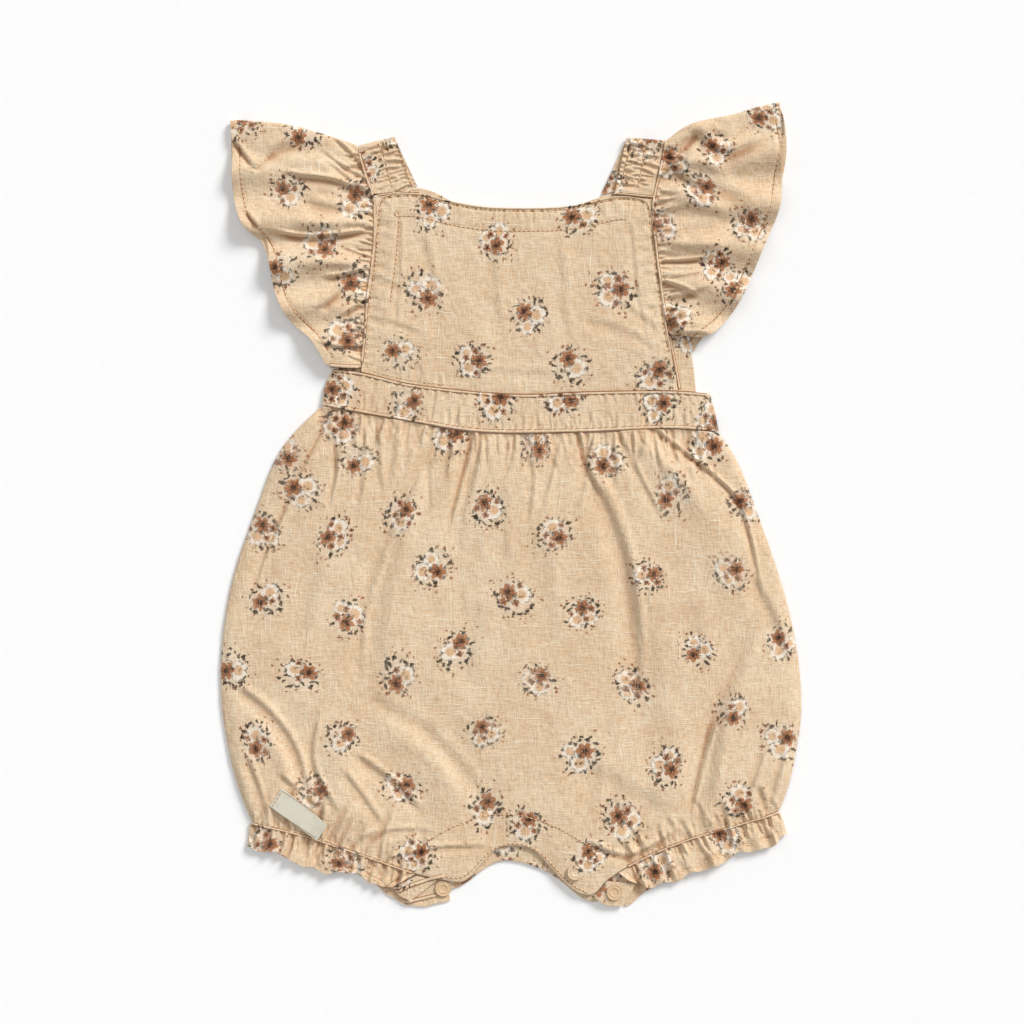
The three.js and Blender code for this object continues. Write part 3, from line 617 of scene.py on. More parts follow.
def sprig_chart(node, points):
    """The sprigs on a piece, each as x, y, turn, seed, length, width and hand (1 or -1)."""
    chance = Chance(sum(map(ord, node)))
    places = SPRIGS.get(node)
    if places is None:
        low, high = points.min(0), points.max(0)
        places = []
        for row, y in enumerate(np.arange(low[1] - 10, high[1] + 20, SPRIG_APART / 2)):
            start = low[0] - 20 + (row % 2) * SPRIG_APART / 2
            places += [(x + chance.between(-4, 4), y + chance.between(-3, 3))
                       for x in np.arange(start, high[0] + 20, SPRIG_APART)]
    return np.array([
        (x, y, chance.between(0, 2 * math.pi), chance.between(0, 1), chance.between(0.88, 1.1),
         chance.between(0.88, 1.15), np.sign(chance.between(-1, 1)))
        for x, y in places
    ])


def lay_print(piece, node):
    """Two UV maps: Sprig, each face's place in millimetres from the sprig nearest to it, turned
    with that sprig, and Seed, which tells one sprig from the next."""
    mesh = piece.data
    points, _ = vertex_table(mesh)
    chart = sprig_chart(node, points)
    corners = np.zeros(len(mesh.loops), int)
    mesh.loops.foreach_get("vertex_index", corners)
    centres = np.zeros(len(mesh.polygons) * 3)
    sizes = np.zeros(len(mesh.polygons), int)
    mesh.polygons.foreach_get("center", centres)
    mesh.polygons.foreach_get("loop_total", sizes)
    centres = centres.reshape(-1, 3)[:, :2] / MM
    nearest = np.argmin(((centres[:, None] - chart[None, :, :2]) ** 2).sum(2), axis=1)
    x, y, turn, seed, long, wide, hand = chart[np.repeat(nearest, sizes)].T
    dx, dy = points[corners, 0] - x, points[corners, 1] - y
    u = (dx * np.cos(turn) - dy * np.sin(turn)) * long
    v = (dx * np.sin(turn) + dy * np.cos(turn)) * wide * hand
    for name, first, second in (("Sprig", u, v), ("Seed", seed, turn)):
        layer = mesh.uv_layers.new(name=name)
        layer.data.foreach_set("uv", np.c_[first, second].ravel())


# Materials

def add(tree, kind, inputs=(), out=0, **settings):
    """Adds a node with its settings. Sockets given as inputs are linked and other values set.
    Returns the output socket asked for."""
    made = tree.nodes.new(kind)
    for key, value in settings.items():
        setattr(made, key, value)
    pairs = inputs.items() if isinstance(inputs, dict) else enumerate(inputs)
    for key, value in pairs:
        if isinstance(value, bpy.types.NodeSocket):
            tree.links.new(value, made.inputs[key])
        else:
            made.inputs[key].default_value = value
    return made.outputs[out] if made.outputs else None


def new_material(name):
    material = bpy.data.materials.new(name)
    material.use_nodes = True
    material.node_tree.nodes.clear()
    return material, material.node_tree


def calc(tree, operation, *values):
    return add(tree, "ShaderNodeMath", values, operation=operation)


def times(tree, first, second):
    return calc(tree, "MULTIPLY", first, second)


def over(tree, share, below, above):
    return add(tree, "ShaderNodeMix", {0: share, 6: below, 7: above}, out=2, data_type="RGBA")


def inked(tree, colour, mask, strength, ink):
    """A colour with another printed over it where a mask is."""
    return over(tree, times(tree, mask, strength), colour, paint(ink))


def ramp(tree, value, low, high):
    """0 up to a low value and 1 from a high one, or the other way round where low is above high."""
    return add(tree, "ShaderNodeMapRange", [value, low, high, 0.0, 1.0])


def within(tree, distance, soft):
    """1 inside a line and 0 outside it, from a distance that grows inwards, in millimetres."""
    return add(tree, "ShaderNodeMapRange", [distance, -soft, soft, 0.0, 1.0], interpolation_type="SMOOTHSTEP")


def parts_of(tree, kind, value):
    """The single values that a vector or a colour is made of."""
    made = tree.nodes.new(kind)
    tree.links.new(value, made.inputs[0])
    return list(made.outputs)


def chance_of(tree, x, y, z):
    """Four random values that stay the same for the same x, y and z."""
    key = add(tree, "ShaderNodeCombineXYZ", [x, y, z])
    made = tree.nodes.new("ShaderNodeTexWhiteNoise")
    made.noise_dimensions = "3D"
    tree.links.new(key, made.inputs[0])
    return [made.outputs[0], *parts_of(tree, "ShaderNodeSeparateColor", made.outputs[1])]


def polar(tree, place, centre):
    """Distance and angle of a place from a centre, on the sprig's own map."""
    away = add(tree, "ShaderNodeVectorMath", [place, (*centre, 0)], operation="SUBTRACT")
    x, y, _ = parts_of(tree, "ShaderNodeSeparateXYZ", away)
    distance = add(tree, "ShaderNodeVectorMath", [away], out="Value", operation="LENGTH")
    return distance, calc(tree, "ARCTAN2", y, x)


def petals(tree, place, centre, radius, count, notch, phase=0.0, soft=0.3):
    """A flower's outline, round petals with a notch between each two. Gives its mask, how far
    inside the outline a place is, its distance from the centre, the angle and how near it is to
    the middle of a petal."""
    distance, angle = polar(tree, place, centre)
    petal = calc(tree, "ABSOLUTE", calc(tree, "SINE", calc(tree, "MULTIPLY_ADD", angle, count / 2, phase)))
    reach = calc(tree, "MULTIPLY_ADD", petal, radius * notch, radius * (1 - notch))
    inside = calc(tree, "SUBTRACT", reach, distance)
    return within(tree, inside, soft), inside, distance, angle, petal


def wreath(tree, place, seed, count, radius, spread, size, kept, salt, lean):
    """A loose ring of small leaves or dots round a sprig's middle: a mask and a random value."""
    distance, angle = polar(tree, place, (0, 0))
    steps = times(tree, angle, count / (2 * math.pi))
    cell = calc(tree, "FLOOR", steps)
    part = calc(tree, "SUBTRACT", calc(tree, "SUBTRACT", steps, cell), 0.5)
    value, first, second, third = chance_of(tree, cell, times(tree, seed, 97.0), float(salt))
    ring = calc(tree, "MULTIPLY_ADD", first, 2 * spread, radius - spread)
    lopsided = calc(tree, "SINE", calc(tree, "MULTIPLY_ADD", angle, 2.0, times(tree, seed, 60.0)))
    ring = calc(tree, "MULTIPLY_ADD", lopsided, 0.13 * radius, ring)
    outward = calc(tree, "SUBTRACT", distance, ring)
    part = calc(tree, "SUBTRACT", part, calc(tree, "MULTIPLY_ADD", second, 0.4, -0.2))
    sideways = times(tree, part, times(tree, distance, 2 * math.pi / count))
    turn = calc(tree, "MULTIPLY_ADD", third, 2 * math.pi * lean, -math.pi * lean)
    cos, sin = calc(tree, "COSINE", turn), calc(tree, "SINE", turn)
    long_way = calc(tree, "ADD", times(tree, outward, cos), times(tree, sideways, sin))
    short_way = calc(tree, "SUBTRACT", times(tree, sideways, cos), times(tree, outward, sin))
    flat = add(tree, "ShaderNodeCombineXYZ",
               [calc(tree, "DIVIDE", long_way, size[0]), calc(tree, "DIVIDE", short_way, size[1]), 0.0])
    span = add(tree, "ShaderNodeVectorMath", [flat], out="Value", operation="LENGTH")
    mask = within(tree, calc(tree, "SUBTRACT", calc(tree, "MULTIPLY_ADD", second, 0.6, 0.7), span), 0.3)
    return times(tree, mask, calc(tree, "LESS_THAN", value, kept)), first


def sprig_print(tree, ground, in_mm):
    """The sprig on a ground: cream roses and a rust flower in a wreath of dark leaves and dots.
    Its edges are broken up as the threads break up a printed edge."""
    sprig = add(tree, "ShaderNodeUVMap", uv_map="Sprig")
    seed = parts_of(tree, "ShaderNodeSeparateXYZ", add(tree, "ShaderNodeUVMap", uv_map="Seed"))[0]
    rough = add(tree, "ShaderNodeTexNoise",
                {"Vector": in_mm, "Scale": 0.62, "Detail": 4.0, "Roughness": 0.75}, out=1)
    shaken = add(tree, "ShaderNodeVectorMath",
                 {0: rough, 1: (4.4, 4.4, 0), 2: sprig}, operation="MULTIPLY_ADD")
    middle = add(tree, "ShaderNodeVectorMath", [shaken, (2.2, 2.2, 0)], operation="SUBTRACT")
    _, first, second, third = chance_of(tree, seed, 3.0, 5.0)
    nudges = [calc(tree, "MULTIPLY_ADD", value, 2.4, -1.2) for value in (first, second)]
    nudge = add(tree, "ShaderNodeCombineXYZ", [*nudges, 0.0])
    place = add(tree, "ShaderNodeVectorMath", [middle, nudge], operation="ADD")
    swing = times(tree, seed, 40.0)
    ragged = parts_of(tree, "ShaderNodeSeparateXYZ", rough)[2]

    halo = petals(tree, middle, (0, 0), 9.5, 3, 0.2, 0.0, 4.0)[0]
    colour = inked(tree, ground, halo, 0.3, "#EFE0D0")
    for count, radius, spread, size, kept, salt, strength, inks in WREATHS:
        mask, mix = wreath(tree, middle, seed, count, radius, spread, size, kept, salt, 0.55)
        ink = over(tree, calc(tree, "GREATER_THAN", mix, 0.5), paint(inks[0]), paint(inks[1]))
        colour = over(tree, times(tree, mask, strength), colour, ink)
    for centre, radius, count, phase, shown in ROSES:
        rose, inside, distance, angle, petal = petals(tree, place, centre, radius, count, 0.2, phase)
        seen = calc(tree, "GREATER_THAN", first, shown)
        mask = times(tree, rose, seen)
        cream = times(tree, within(tree, calc(tree, "ADD", inside, 0.3), 0.5), seen)
        colour = inked(tree, colour, cream, 0.95, "#F3E7D6")
        ring = within(tree, calc(tree, "SUBTRACT", radius * 0.56, distance), 0.5)
        colour = inked(tree, colour, times(tree, ring, seen), 0.9, "#D9AE82")
        vein = times(tree, ramp(tree, petal, 0.25, 0.05), ramp(tree, ragged, 0.4, 0.55))
        colour = inked(tree, colour, times(tree, mask, vein), 0.65, "#94714F")
        line = calc(tree, "ABSOLUTE", calc(tree, "ADD", inside, 0.15))
        edge = within(tree, calc(tree, "SUBTRACT", 0.3, line), 0.25)
        broken = ramp(tree, calc(tree, "SINE", calc(tree, "MULTIPLY_ADD", angle, 5.0, swing)), 0.0, 0.4)
        strength = times(tree, times(tree, edge, broken), seen)
        colour = inked(tree, colour, strength, 0.9, "#3A2C1E")
    for centre, radius, count, phase, shown in BLOOMS:
        bloom, inside, distance, angle, petal = petals(tree, place, centre, radius, count, 0.42, phase)
        body = over(tree, ramp(tree, distance, 0.0, radius), paint("#76391B"), paint("#C17C47"))
        body = over(tree, ramp(tree, ragged, 0.56, 0.66), body, paint("#CC9058"))
        streak = calc(tree, "SINE", calc(tree, "MULTIPLY_ADD", angle, 17.0, swing))
        body = inked(tree, body, ramp(tree, streak, 0.2, 0.9), 0.5, "#552A14")
        body = inked(tree, body, ramp(tree, petal, 0.42, 0.15), 0.85, "#301C10")
        seen = calc(tree, "GREATER_THAN", third, shown)
        cream = times(tree, within(tree, calc(tree, "ADD", inside, 0.6), 0.4), seen)
        colour = inked(tree, colour, cream, 0.5, "#F3E7D6")
        mask = times(tree, bloom, seen)
        colour = over(tree, times(tree, mask, 0.93), colour, body)
        heart = petals(tree, place, centre, radius * 0.36, 5, 0.6, phase, 0.3)[0]
        colour = inked(tree, colour, times(tree, heart, mask), 0.9, "#22160E")
    knot = petals(tree, place, (-0.4, 0.2), 1.5, 5, 0.7, 1.0, 0.3)[0]
    colour = inked(tree, colour, knot, 0.85, "#2A2015")
    specks, mix = wreath(tree, place, seed, 13, 5.0, 2.6, (1.1, 0.42), 0.5, 4, 0.9)
    ink = over(tree, calc(tree, "GREATER_THAN", mix, 0.4), paint("#40291A"), paint("#282018"))
    return over(tree, times(tree, specks, 0.85), colour, ink)


# Rings round a sprig: how many, how far out, their scatter, half length and width, share kept,
# seed, strength and two inks
WREATHS = [
    (15, 14.8, 1.8, (0.62, 0.5), 0.32, 5, 0.9, ("#8A4A26", "#3A281C")),
    (23, 12.6, 2.3, (0.7, 0.5), 0.45, 3, 0.95, ("#8A4A26", "#3A281C")),
    (18, 10.6, 1.9, (1.25, 0.6), 0.62, 2, 0.97, ("#2E271C", "#6E3B22")),
    (15, 7.9, 2.2, (1.8, 0.8), 0.88, 1, 0.97, ("#38301F", "#231B12")),
]
# Cream roses and rust flowers: centre, radius, petals, turn, and the random value above which
# one shows
ROSES = [((-4.2, 1.0), 4.9, 7, 0.4, 0.0), ((0.8, -5.2), 3.9, 6, 1.9, 0.45)]
BLOOMS = [((3.0, 2.4), 5.0, 6, 0.9, 0.0), ((-1.2, -3.4), 2.2, 4, 2.2, 0.3), ((5.4, -2.6), 2.4, 5, 0.3, 0.5),
          ((-3.4, 6.0), 1.9, 4, 0.3, 0.4)]


def printed_linen():
    """Slub linen, plain woven, pigment printed and washed soft: matt, with thick pale threads both ways.
    Painted shade makes it darker and warmer in its creases and stitch grooves, and a band of wear darkens it
    along its seams."""
    look = bpy.context.scene.romper_cloth
    material, tree = new_material("printed_slub_linen")
    object_place = add(tree, "ShaderNodeTexCoord", out="Object")
    in_mm = add(tree, "ShaderNodeVectorMath", {0: object_place, "Scale": 1000.0}, operation="SCALE")

    # The ground: a thread every 1.1 mm, twice as coarse as the real one so that it shows, and
    # slubs 0.8 mm thick and some 30 mm long
    wander = add(tree, "ShaderNodeTexNoise", {"Vector": in_mm, "Scale": 0.05, "Detail": 2.0}, out=1)
    drift = add(tree, "ShaderNodeVectorMath", {0: wander, 1: (6, 6, 0), 2: in_mm}, operation="MULTIPLY_ADD")
    threads, slubs = [], []
    for fine, coarse in (((1.15, 0.2, 1), (1.25, 0.034, 1)), ((0.2, 1.15, 1), (0.034, 1.25, 1))):
        thread_place = add(tree, "ShaderNodeMapping", {"Vector": in_mm, "Scale": fine})
        threads.append(add(tree, "ShaderNodeTexNoise", {"Vector": thread_place, "Scale": 1.0, "Detail": 2.0}))
        slub_place = add(tree, "ShaderNodeMapping", {"Vector": drift, "Scale": coarse})
        slubs.append(add(tree, "ShaderNodeTexNoise", {"Vector": slub_place, "Scale": 1.0, "Detail": 3.0}))
    thread = calc(tree, "ADD", *threads)
    slub = calc(tree, "MAXIMUM", *[ramp(tree, value, 0.6, 0.72) for value in slubs])
    patches = add(tree, "ShaderNodeTexNoise", {"Vector": in_mm, "Scale": 0.03, "Detail": 4.0})
    ground = over(tree, ramp(tree, patches, 0.38, 0.62), (*look.ground, 1), (*look.ground_warm, 1))
    ground = over(tree, times(tree, ramp(tree, thread, 1.02, 0.68), 0.38), ground, (*look.gap, 1))
    ground = over(tree, times(tree, ramp(tree, thread, 1.0, 1.34), 0.44), ground, (*look.slub, 1))
    ground = over(tree, times(tree, slub, 0.8), ground, (*look.slub, 1))
    # Painted shade in the creases and stitch grooves, darker and warmer the deeper they lie, and wear along
    # the seams.
    shade_and_wear = add(tree, "ShaderNodeAttribute", out=2, attribute_name="CreaseShadeAndSeamWear")
    ground = over(tree, times(tree, ramp(tree, shade_and_wear, 0.0, 0.8), 0.4), ground, (*look.crease, 1))
    ground = over(tree, times(tree, ramp(tree, shade_and_wear, 0.5, 1.0), 0.6), ground, (*look.deep_crease_shade, 1))
    colour = sprig_print(tree, ground, in_mm)
    colour = over(tree, times(tree, slub, 0.2), colour, (*look.slub, 1))
    colour = over(tree, times(tree, ramp(tree, thread, 1.0, 0.7), 0.12), colour, (*look.gap, 1))

    # Relief: the threads, and small soft crumples that the wall itself is too coarse to hold
    height = calc(tree, "MULTIPLY_ADD", slub, 0.6, thread)
    thread_relief = add(tree, "ShaderNodeBump", {"Strength": 0.65, "Distance": 0.00038, "Height": height})
    crumple_place = add(tree, "ShaderNodeMapping", {"Vector": drift, "Scale": (1, 0.6, 1)})
    crumple = add(tree, "ShaderNodeTexNoise",
                  {"Vector": crumple_place, "Scale": 0.13, "Detail": 4.0, "Distortion": 0.7})
    relief = add(tree, "ShaderNodeBump",
                 {"Strength": 0.5, "Distance": 0.0016, "Height": crumple, "Normal": thread_relief})
    shader = add(tree, "ShaderNodeBsdfPrincipled",
                 {"Base Color": colour, "Roughness": 0.92, "Normal": relief})
    shader.node.inputs["Sheen Weight"].default_value = 0.12
    shader.node.inputs["Sheen Roughness"].default_value = 0.5
    shader.node.inputs["Specular IOR Level"].default_value = 0.2
    add(tree, "ShaderNodeOutputMaterial", {"Surface": shader})
    return material


def noisy_material(name, size, colours, roughness, relief, detail=2.0):
    """A plain finish of two close colours that mingle, with its own grain as a fine relief."""
    material, tree = new_material(name)
    place = add(tree, "ShaderNodeTexCoord", out="Object")
    grain = add(tree, "ShaderNodeTexNoise", {"Vector": place, "Scale": 1 / (size * MM), "Detail": detail})
    colour = over(tree, ramp(tree, grain, 0.3, 0.7), paint(colours[0]), paint(colours[1]))
    bump = add(tree, "ShaderNodeBump", {"Strength": relief, "Distance": 0.0001, "Height": grain})
    shader = add(tree, "ShaderNodeBsdfPrincipled",
                 {"Base Color": colour, "Roughness": roughness, "Normal": bump})
    add(tree, "ShaderNodeOutputMaterial", {"Surface": shader})
    return material, tree, shader


def pale_thread():
    """Spun polyester sewing thread, dyed close to the linen, with a twist 0.4 mm long."""
    return noisy_material("pale_sewing_thread", 0.4, ("#EBD3AE", "#DDBC90"), 0.7, 0.4)[0]


def rust_dye_and_shade():
    """A rust-coloured cord that shows between the pale stitches and beside the seam rolls: painted shade
    where the cloth dips at their edges, and partly dye that gathers there.
    """
    return noisy_material("rust_dye_and_painted_shade", 0.4, ("#AE7850", "#955F3D"), 0.8, 0.4)[0]


def border_thread():
    """The darker warp thread that edges the label's tape."""
    return noisy_material("tape_border_thread", 0.4, ("#8E8570", "#7A705C"), 0.7, 0.3)[0]


def satin_enamel():
    """Brass ring snap under a satin enamel dyed to match the cloth, a little cloudy."""
    return noisy_material("satin_enamel", 2.5, ("#DFC29A", "#D0AE86"), 0.5, 0.15, 3.0)[0]


def woven_tape():
    """Woven satin tape: close shiny threads every 0.5 mm across its length."""
    material, tree = new_material("woven_satin_tape")
    place = add(tree, "ShaderNodeTexCoord", out="Object")
    turned = add(tree, "ShaderNodeMapping", {"Vector": place, "Rotation": (0, 0, math.radians(38))})
    ribs = add(tree, "ShaderNodeTexWave",
               {"Vector": turned, "Scale": 630.0, "Distortion": 0.8, "Detail": 1.0},
               out=1, bands_direction="Y")
    cloudy = add(tree, "ShaderNodeTexNoise", {"Vector": place, "Scale": 220.0, "Detail": 3.0})
    colour = over(tree, ribs, paint("#D0C9B6"), paint("#E2DCCC"))
    colour = inked(tree, colour, ramp(tree, cloudy, 0.5, 0.7), 0.4, "#C4B9A2")
    relief = add(tree, "ShaderNodeBump", {"Strength": 0.35, "Distance": 0.0001, "Height": ribs})
    shader = add(tree, "ShaderNodeBsdfPrincipled",
                 {"Base Color": colour, "Roughness": 0.55, "Normal": relief})
    add(tree, "ShaderNodeOutputMaterial", {"Surface": shader})
    return material


def lit_paper():
    """Translucent white table, lit faintly from below, so that shadows on it stay pale."""
    material, tree, shader = noisy_material("lit_white_acrylic", 3.0, ("#EBEBEB", "#EDEDED"), 1.0, 0.0)
    shader.node.inputs["Specular IOR Level"].default_value = 0.0
    shader.node.inputs["Emission Color"].default_value = (1, 1, 1, 1)
    shader.node.inputs["Emission Strength"].default_value = bpy.context.scene.romper_stage.table_glow
    return material


def material_of(maker):
    """The material that a function makes, made once."""
    name = "made_by_" + maker.__name__
    if name not in bpy.context.scene:
        bpy.context.scene[name] = maker().name
    return bpy.data.materials[bpy.context.scene[name]]


# Seams and stitches

def top_of(pieces):
    """A tree of the faces of some pieces, to drop things onto."""
    points, faces = [], []
    for piece in pieces:
        table, _ = vertex_table(piece.data)
        start = len(points)
        points += table.tolist()
        faces += [[start + i for i in p.vertices] for p in piece.data.polygons]
    return BVHTree.FromPolygons(points, faces)


def height_at(tree, x, y):
    hit = tree.ray_cast(Vector((x, y, 40)), Vector((0, 0, -1)))[0]
    return None if hit is None else hit.z


def new_piece(name, points, faces, material, slot):
    mesh = bpy.data.meshes.new(name)
    mesh.from_pydata([tuple(np.array(p) * MM) for p in points], [], faces)
    piece = bpy.data.objects.new(name, mesh)
    bpy.context.scene.collection.objects.link(piece)
    alone(piece)
    bpy.ops.object.shade_smooth()
    mesh.materials.append(material)
    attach(piece, "root")
    return piece


def tube(rings):
    """Points and faces of a closed tube through some rings of points, each ring the same count."""
    count = len(rings[0])
    points = [p for ring in rings for p in ring]
    faces = []
    for ring in range(len(rings) - 1):
        for side in range(count):
            a, b = ring * count + side, ring * count + (side + 1) % count
            faces.append((a, b, b + count, a + count))
    faces.append(tuple(range(count))[::-1])
    faces.append(tuple(range((len(rings) - 1) * count, len(rings) * count)))
    return points, faces


def laid_cord(line, tree, half_width, half_height, lift, sides, step):
    """A cord along a line that lies on whatever is under it. lift is the height of its middle."""
    path = evened(line, step)
    normals = across(path)
    heights = []
    for point, normal in zip(path, normals):
        found = [height_at(tree, *(point + normal * offset)) for offset in (-half_width, 0, half_width)]
        found = [height for height in found if height is not None]
        heights.append(max(found) if found else (heights[-1] if heights else 1.4))
    heights = softened(heights, 2)
    rings = []
    for point, normal, height in zip(path, normals, heights):
        ring = []
        for side in range(sides):
            turn = 2 * math.pi * side / sides
            x, y = point + normal * half_width * math.cos(turn)
            ring.append((x, y, max(0.05, height + lift + half_height * math.sin(turn))))
        rings.append(ring)
    return tube(rings)


def joined(shapes):
    """Several shapes as one, each given as its points and faces."""
    points, faces = [], []
    for shape_points, shape_faces in shapes:
        start = len(points)
        points += list(shape_points)
        faces += [tuple(start + i for i in face) for face in shape_faces]
    return points, faces


def stitches_along(line, tree):
    """A row of stitches that follows a line over the cloth."""
    look = bpy.context.scene.romper_sewing
    pitch, length, radius = look.stitch_pitch / MM, look.stitch_length / MM, look.thread_radius / MM
    sides = 6
    shapes = []
    path = evened(line, pitch)
    for a, b in zip(path[:-1], path[1:]):
        middle, way = (a + b) / 2, (b - a) / max(1e-9, np.hypot(*(b - a)))
        ends = [middle - way * length / 2, middle + way * length / 2]
        heights = [height_at(tree, *end) for end in ends]
        if None in heights or abs(heights[0] - heights[1]) > length * 0.8:
            continue
        side_way = np.array([-way[1], way[0], 0])
        rings = []
        for at, wide in ((0.0, 0.35), (0.2, 1.0), (0.8, 1.0), (1.0, 0.35)):
            x, y = ends[0] + (ends[1] - ends[0]) * at
            z = heights[0] + (heights[1] - heights[0]) * at + radius * (0.5 * wide - 0.1)
            rings.append([
                np.array([x, y, z])
                + radius * wide * (side_way * math.cos(t) + np.array([0, 0, 1]) * math.sin(t))
                for t in (2 * math.pi * side / sides for side in range(sides))
            ])
        shapes.append(tube(rings))
    return shapes


def sew(name, rows, tree, rust_underneath=True):
    """Rows of pale stitches and, where asked, a rust cord under them that shows between the stitches: painted
    shade beside the stitches, and partly dye.
    """
    stitches = joined([shape for line in rows for shape in stitches_along(line, tree)])
    new_piece(name, *stitches, material_of(pale_thread), "print_cloth")
    if not rust_underneath:
        return
    radius = bpy.context.scene.romper_sewing.thread_radius / MM
    # The rust cord under the stitches is painted shade beside them, and partly dye.
    under = joined([laid_cord(line, tree, radius * 1.1, radius * 0.5, 0.02, 5, 1.6) for line in rows])
    new_piece(name + "_under", *under, material_of(rust_dye_and_shade), "print_cloth")


# Settings

class RomperCloth(bpy.types.PropertyGroup):
    ground: bpy.props.FloatVectorProperty(
        name="Ground", description="Colour of the linen", subtype="COLOR", default=linear("#E3CAA9"))
    ground_warm: bpy.props.FloatVectorProperty(
        name="Warm ground", description="Colour of its warmer patches", subtype="COLOR",
        default=linear("#DDBF9C"))
    slub: bpy.props.FloatVectorProperty(
        name="Slub", description="Colour of its thick pale threads", subtype="COLOR",
        default=linear("#F4E4CA"))
    gap: bpy.props.FloatVectorProperty(
        name="Gap", description="Colour between its threads", subtype="COLOR", default=linear("#BE9770"))
    # Painted shade: the colours of the creases and stitch grooves, which along the seams stand for wear.
    crease: bpy.props.FloatVectorProperty(
        name="Crease", description="Colour of its creases and seams", subtype="COLOR",
        default=linear("#C49870"))
    deep_crease_shade: bpy.props.FloatVectorProperty(
        name="Deep crease", description="Colour at the bottom of a sharp crease", subtype="COLOR",
        default=linear("#9A653F"))
    rim_hold: bpy.props.FloatProperty(
        name="Rim hold", description="How firmly a wall's edge keeps its square form",
        default=0.7, min=0, max=1)


class RomperSewing(bpy.types.PropertyGroup):
    stitch_pitch: bpy.props.FloatProperty(
        name="Stitch pitch", description="From one stitch to the next", default=0.0026, unit="LENGTH")
    stitch_length: bpy.props.FloatProperty(
        name="Stitch length", description="Length of one stitch", default=0.0019, unit="LENGTH")
    thread_radius: bpy.props.FloatProperty(
        name="Thread radius", description="Half the thread's thickness", default=0.00026, unit="LENGTH")
    roll_width: bpy.props.FloatProperty(
        name="Seam roll", description="Width of a rolled seam edge", default=0.0015, unit="LENGTH")


class RomperStage(bpy.types.PropertyGroup):
    view_width: bpy.props.FloatProperty(
        name="View width", description="Width of the table that the picture shows",
        default=0.5734, unit="LENGTH")
    lens: bpy.props.FloatProperty(name="Lens", description="Focal length in millimetres", default=85)
    aim: bpy.props.FloatVectorProperty(
        name="Aim", description="Place on the table at the picture's middle",
        size=2, default=(0.00056, -0.0039))
    key_strength: bpy.props.FloatProperty(
        name="Key light", description="Strength of the low light", default=2.95)
    fill_strength: bpy.props.FloatProperty(
        name="Fill light", description="Strength of the high light", default=0.5)
    air_strength: bpy.props.FloatProperty(name="Air light", description="Light from all round", default=0.38)
    table_glow: bpy.props.FloatProperty(
        name="Table glow", description="Light from the table itself", default=0.115)


# Operators

# The pieces that each front piece rests on
SEAMS = ("waist", "foot_left", "foot_right", "gather_left", "gather_right", "bib_low")


def dress_cloth(row):
    node = row["node"]
    piece = own_copy(node, "cloth_" + node)
    hold_rims(piece, bpy.context.scene.romper_cloth.rim_hold)
    finish_modifier(piece, "SUBSURF", levels=row["steps"], render_levels=row["steps"])
    if node == "body_front":
        for longest in (1.6, 1.0):
            cut_near_folds(piece, node, longest)
    press_folds(piece, node)
    lay_print(piece, node)
    alone(piece)
    bpy.ops.object.shade_smooth()
    piece.data.materials.clear()
    piece.data.materials.append(material_of(printed_linen))
    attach(piece, "root")
    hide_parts(node)


def cloth_pieces():
    return [bpy.data.objects["cloth_" + row["node"]] for row in CLOTH]


class ROMPER_OT_cloth(bpy.types.Operator):
    """Dress every cloth piece: smooth its wall, press its folds and lay the print on it"""

    bl_idname = "romper.cloth"
    bl_label = "Cloth pieces"

    def execute(self, context):
        for row in CLOTH:
            dress_cloth(row)
        return {"FINISHED"}


class ROMPER_OT_seams(bpy.types.Operator):
    """Roll the narrow edges of cloth that stand along the seams, with a rust line at each side: painted shade
    in the crease beside the roll, and partly dye
    """

    bl_idname = "romper.seams"
    bl_label = "Seam rolls"

    def execute(self, context):
        tree = top_of(cloth_pieces())
        half = context.scene.romper_sewing.roll_width / MM / 2
        rolls = {
            "waist_low": ("waistband_front", inset(LINES["band_low"], half), 1.0),
            "waist_top": ("waistband_front", inset(LINES["band_top"], -half), 0.8),
            "arm_left": ("sleeve_left", inset(LINES["gather_left"], -0.4), 0.8),
            "arm_right": ("sleeve_right", inset(SEAM_RIGHT, 0.4), 0.8),
            "arm_low": ("sleeve_left", rounded([(-101.5, 78.2), (-93, 77.2), (-84, 77.4)]), 1.1),
            "neck": ("bib_front", inset(LINES["neck"], -0.3), 0.5),
            "strap_left": ("bib_front", rounded([(-77, 173), (-66.6, 174.7), (-51.5, 175.8)]), 0.5),
            "strap_right": ("bib_front", rounded([(57, 174.7), (68, 173.6), (79.5, 172.5)]), 0.5),
            "flap_upper": ("body_back", rounded(FLAP_LINES[0]), 1.2),
            "flap_lower": ("body_back", rounded(FLAP_LINES[1]), 1.1),
            "leg_left": ("leg_ruffle_left", LINES["foot_left"], 0.6),
            "leg_right": ("leg_ruffle_right", LINES["foot_right"], 0.6),
        }
        lines = []
        for name, (node, line, share) in rolls.items():
            width = half * share
            shape = laid_cord(line, tree, width, 0.55 * width, 0.1, 8, 1.1)
            piece = new_piece("roll_" + name, *shape, material_of(printed_linen), "print_cloth")
            lay_print(piece, node)
            # The rust lines at each side of a roll are painted shade in the crease beside it, and partly dye.
            for side in () if name == "neck" else (-1, 1):
                lines.append(laid_cord(inset(line, side * (width + 0.2)), tree, 0.2, 0.16, 0.02, 5, 1.5))
        new_piece("seam_lines", *joined(lines), material_of(rust_dye_and_shade), "print_cloth")
        return {"FINISHED"}


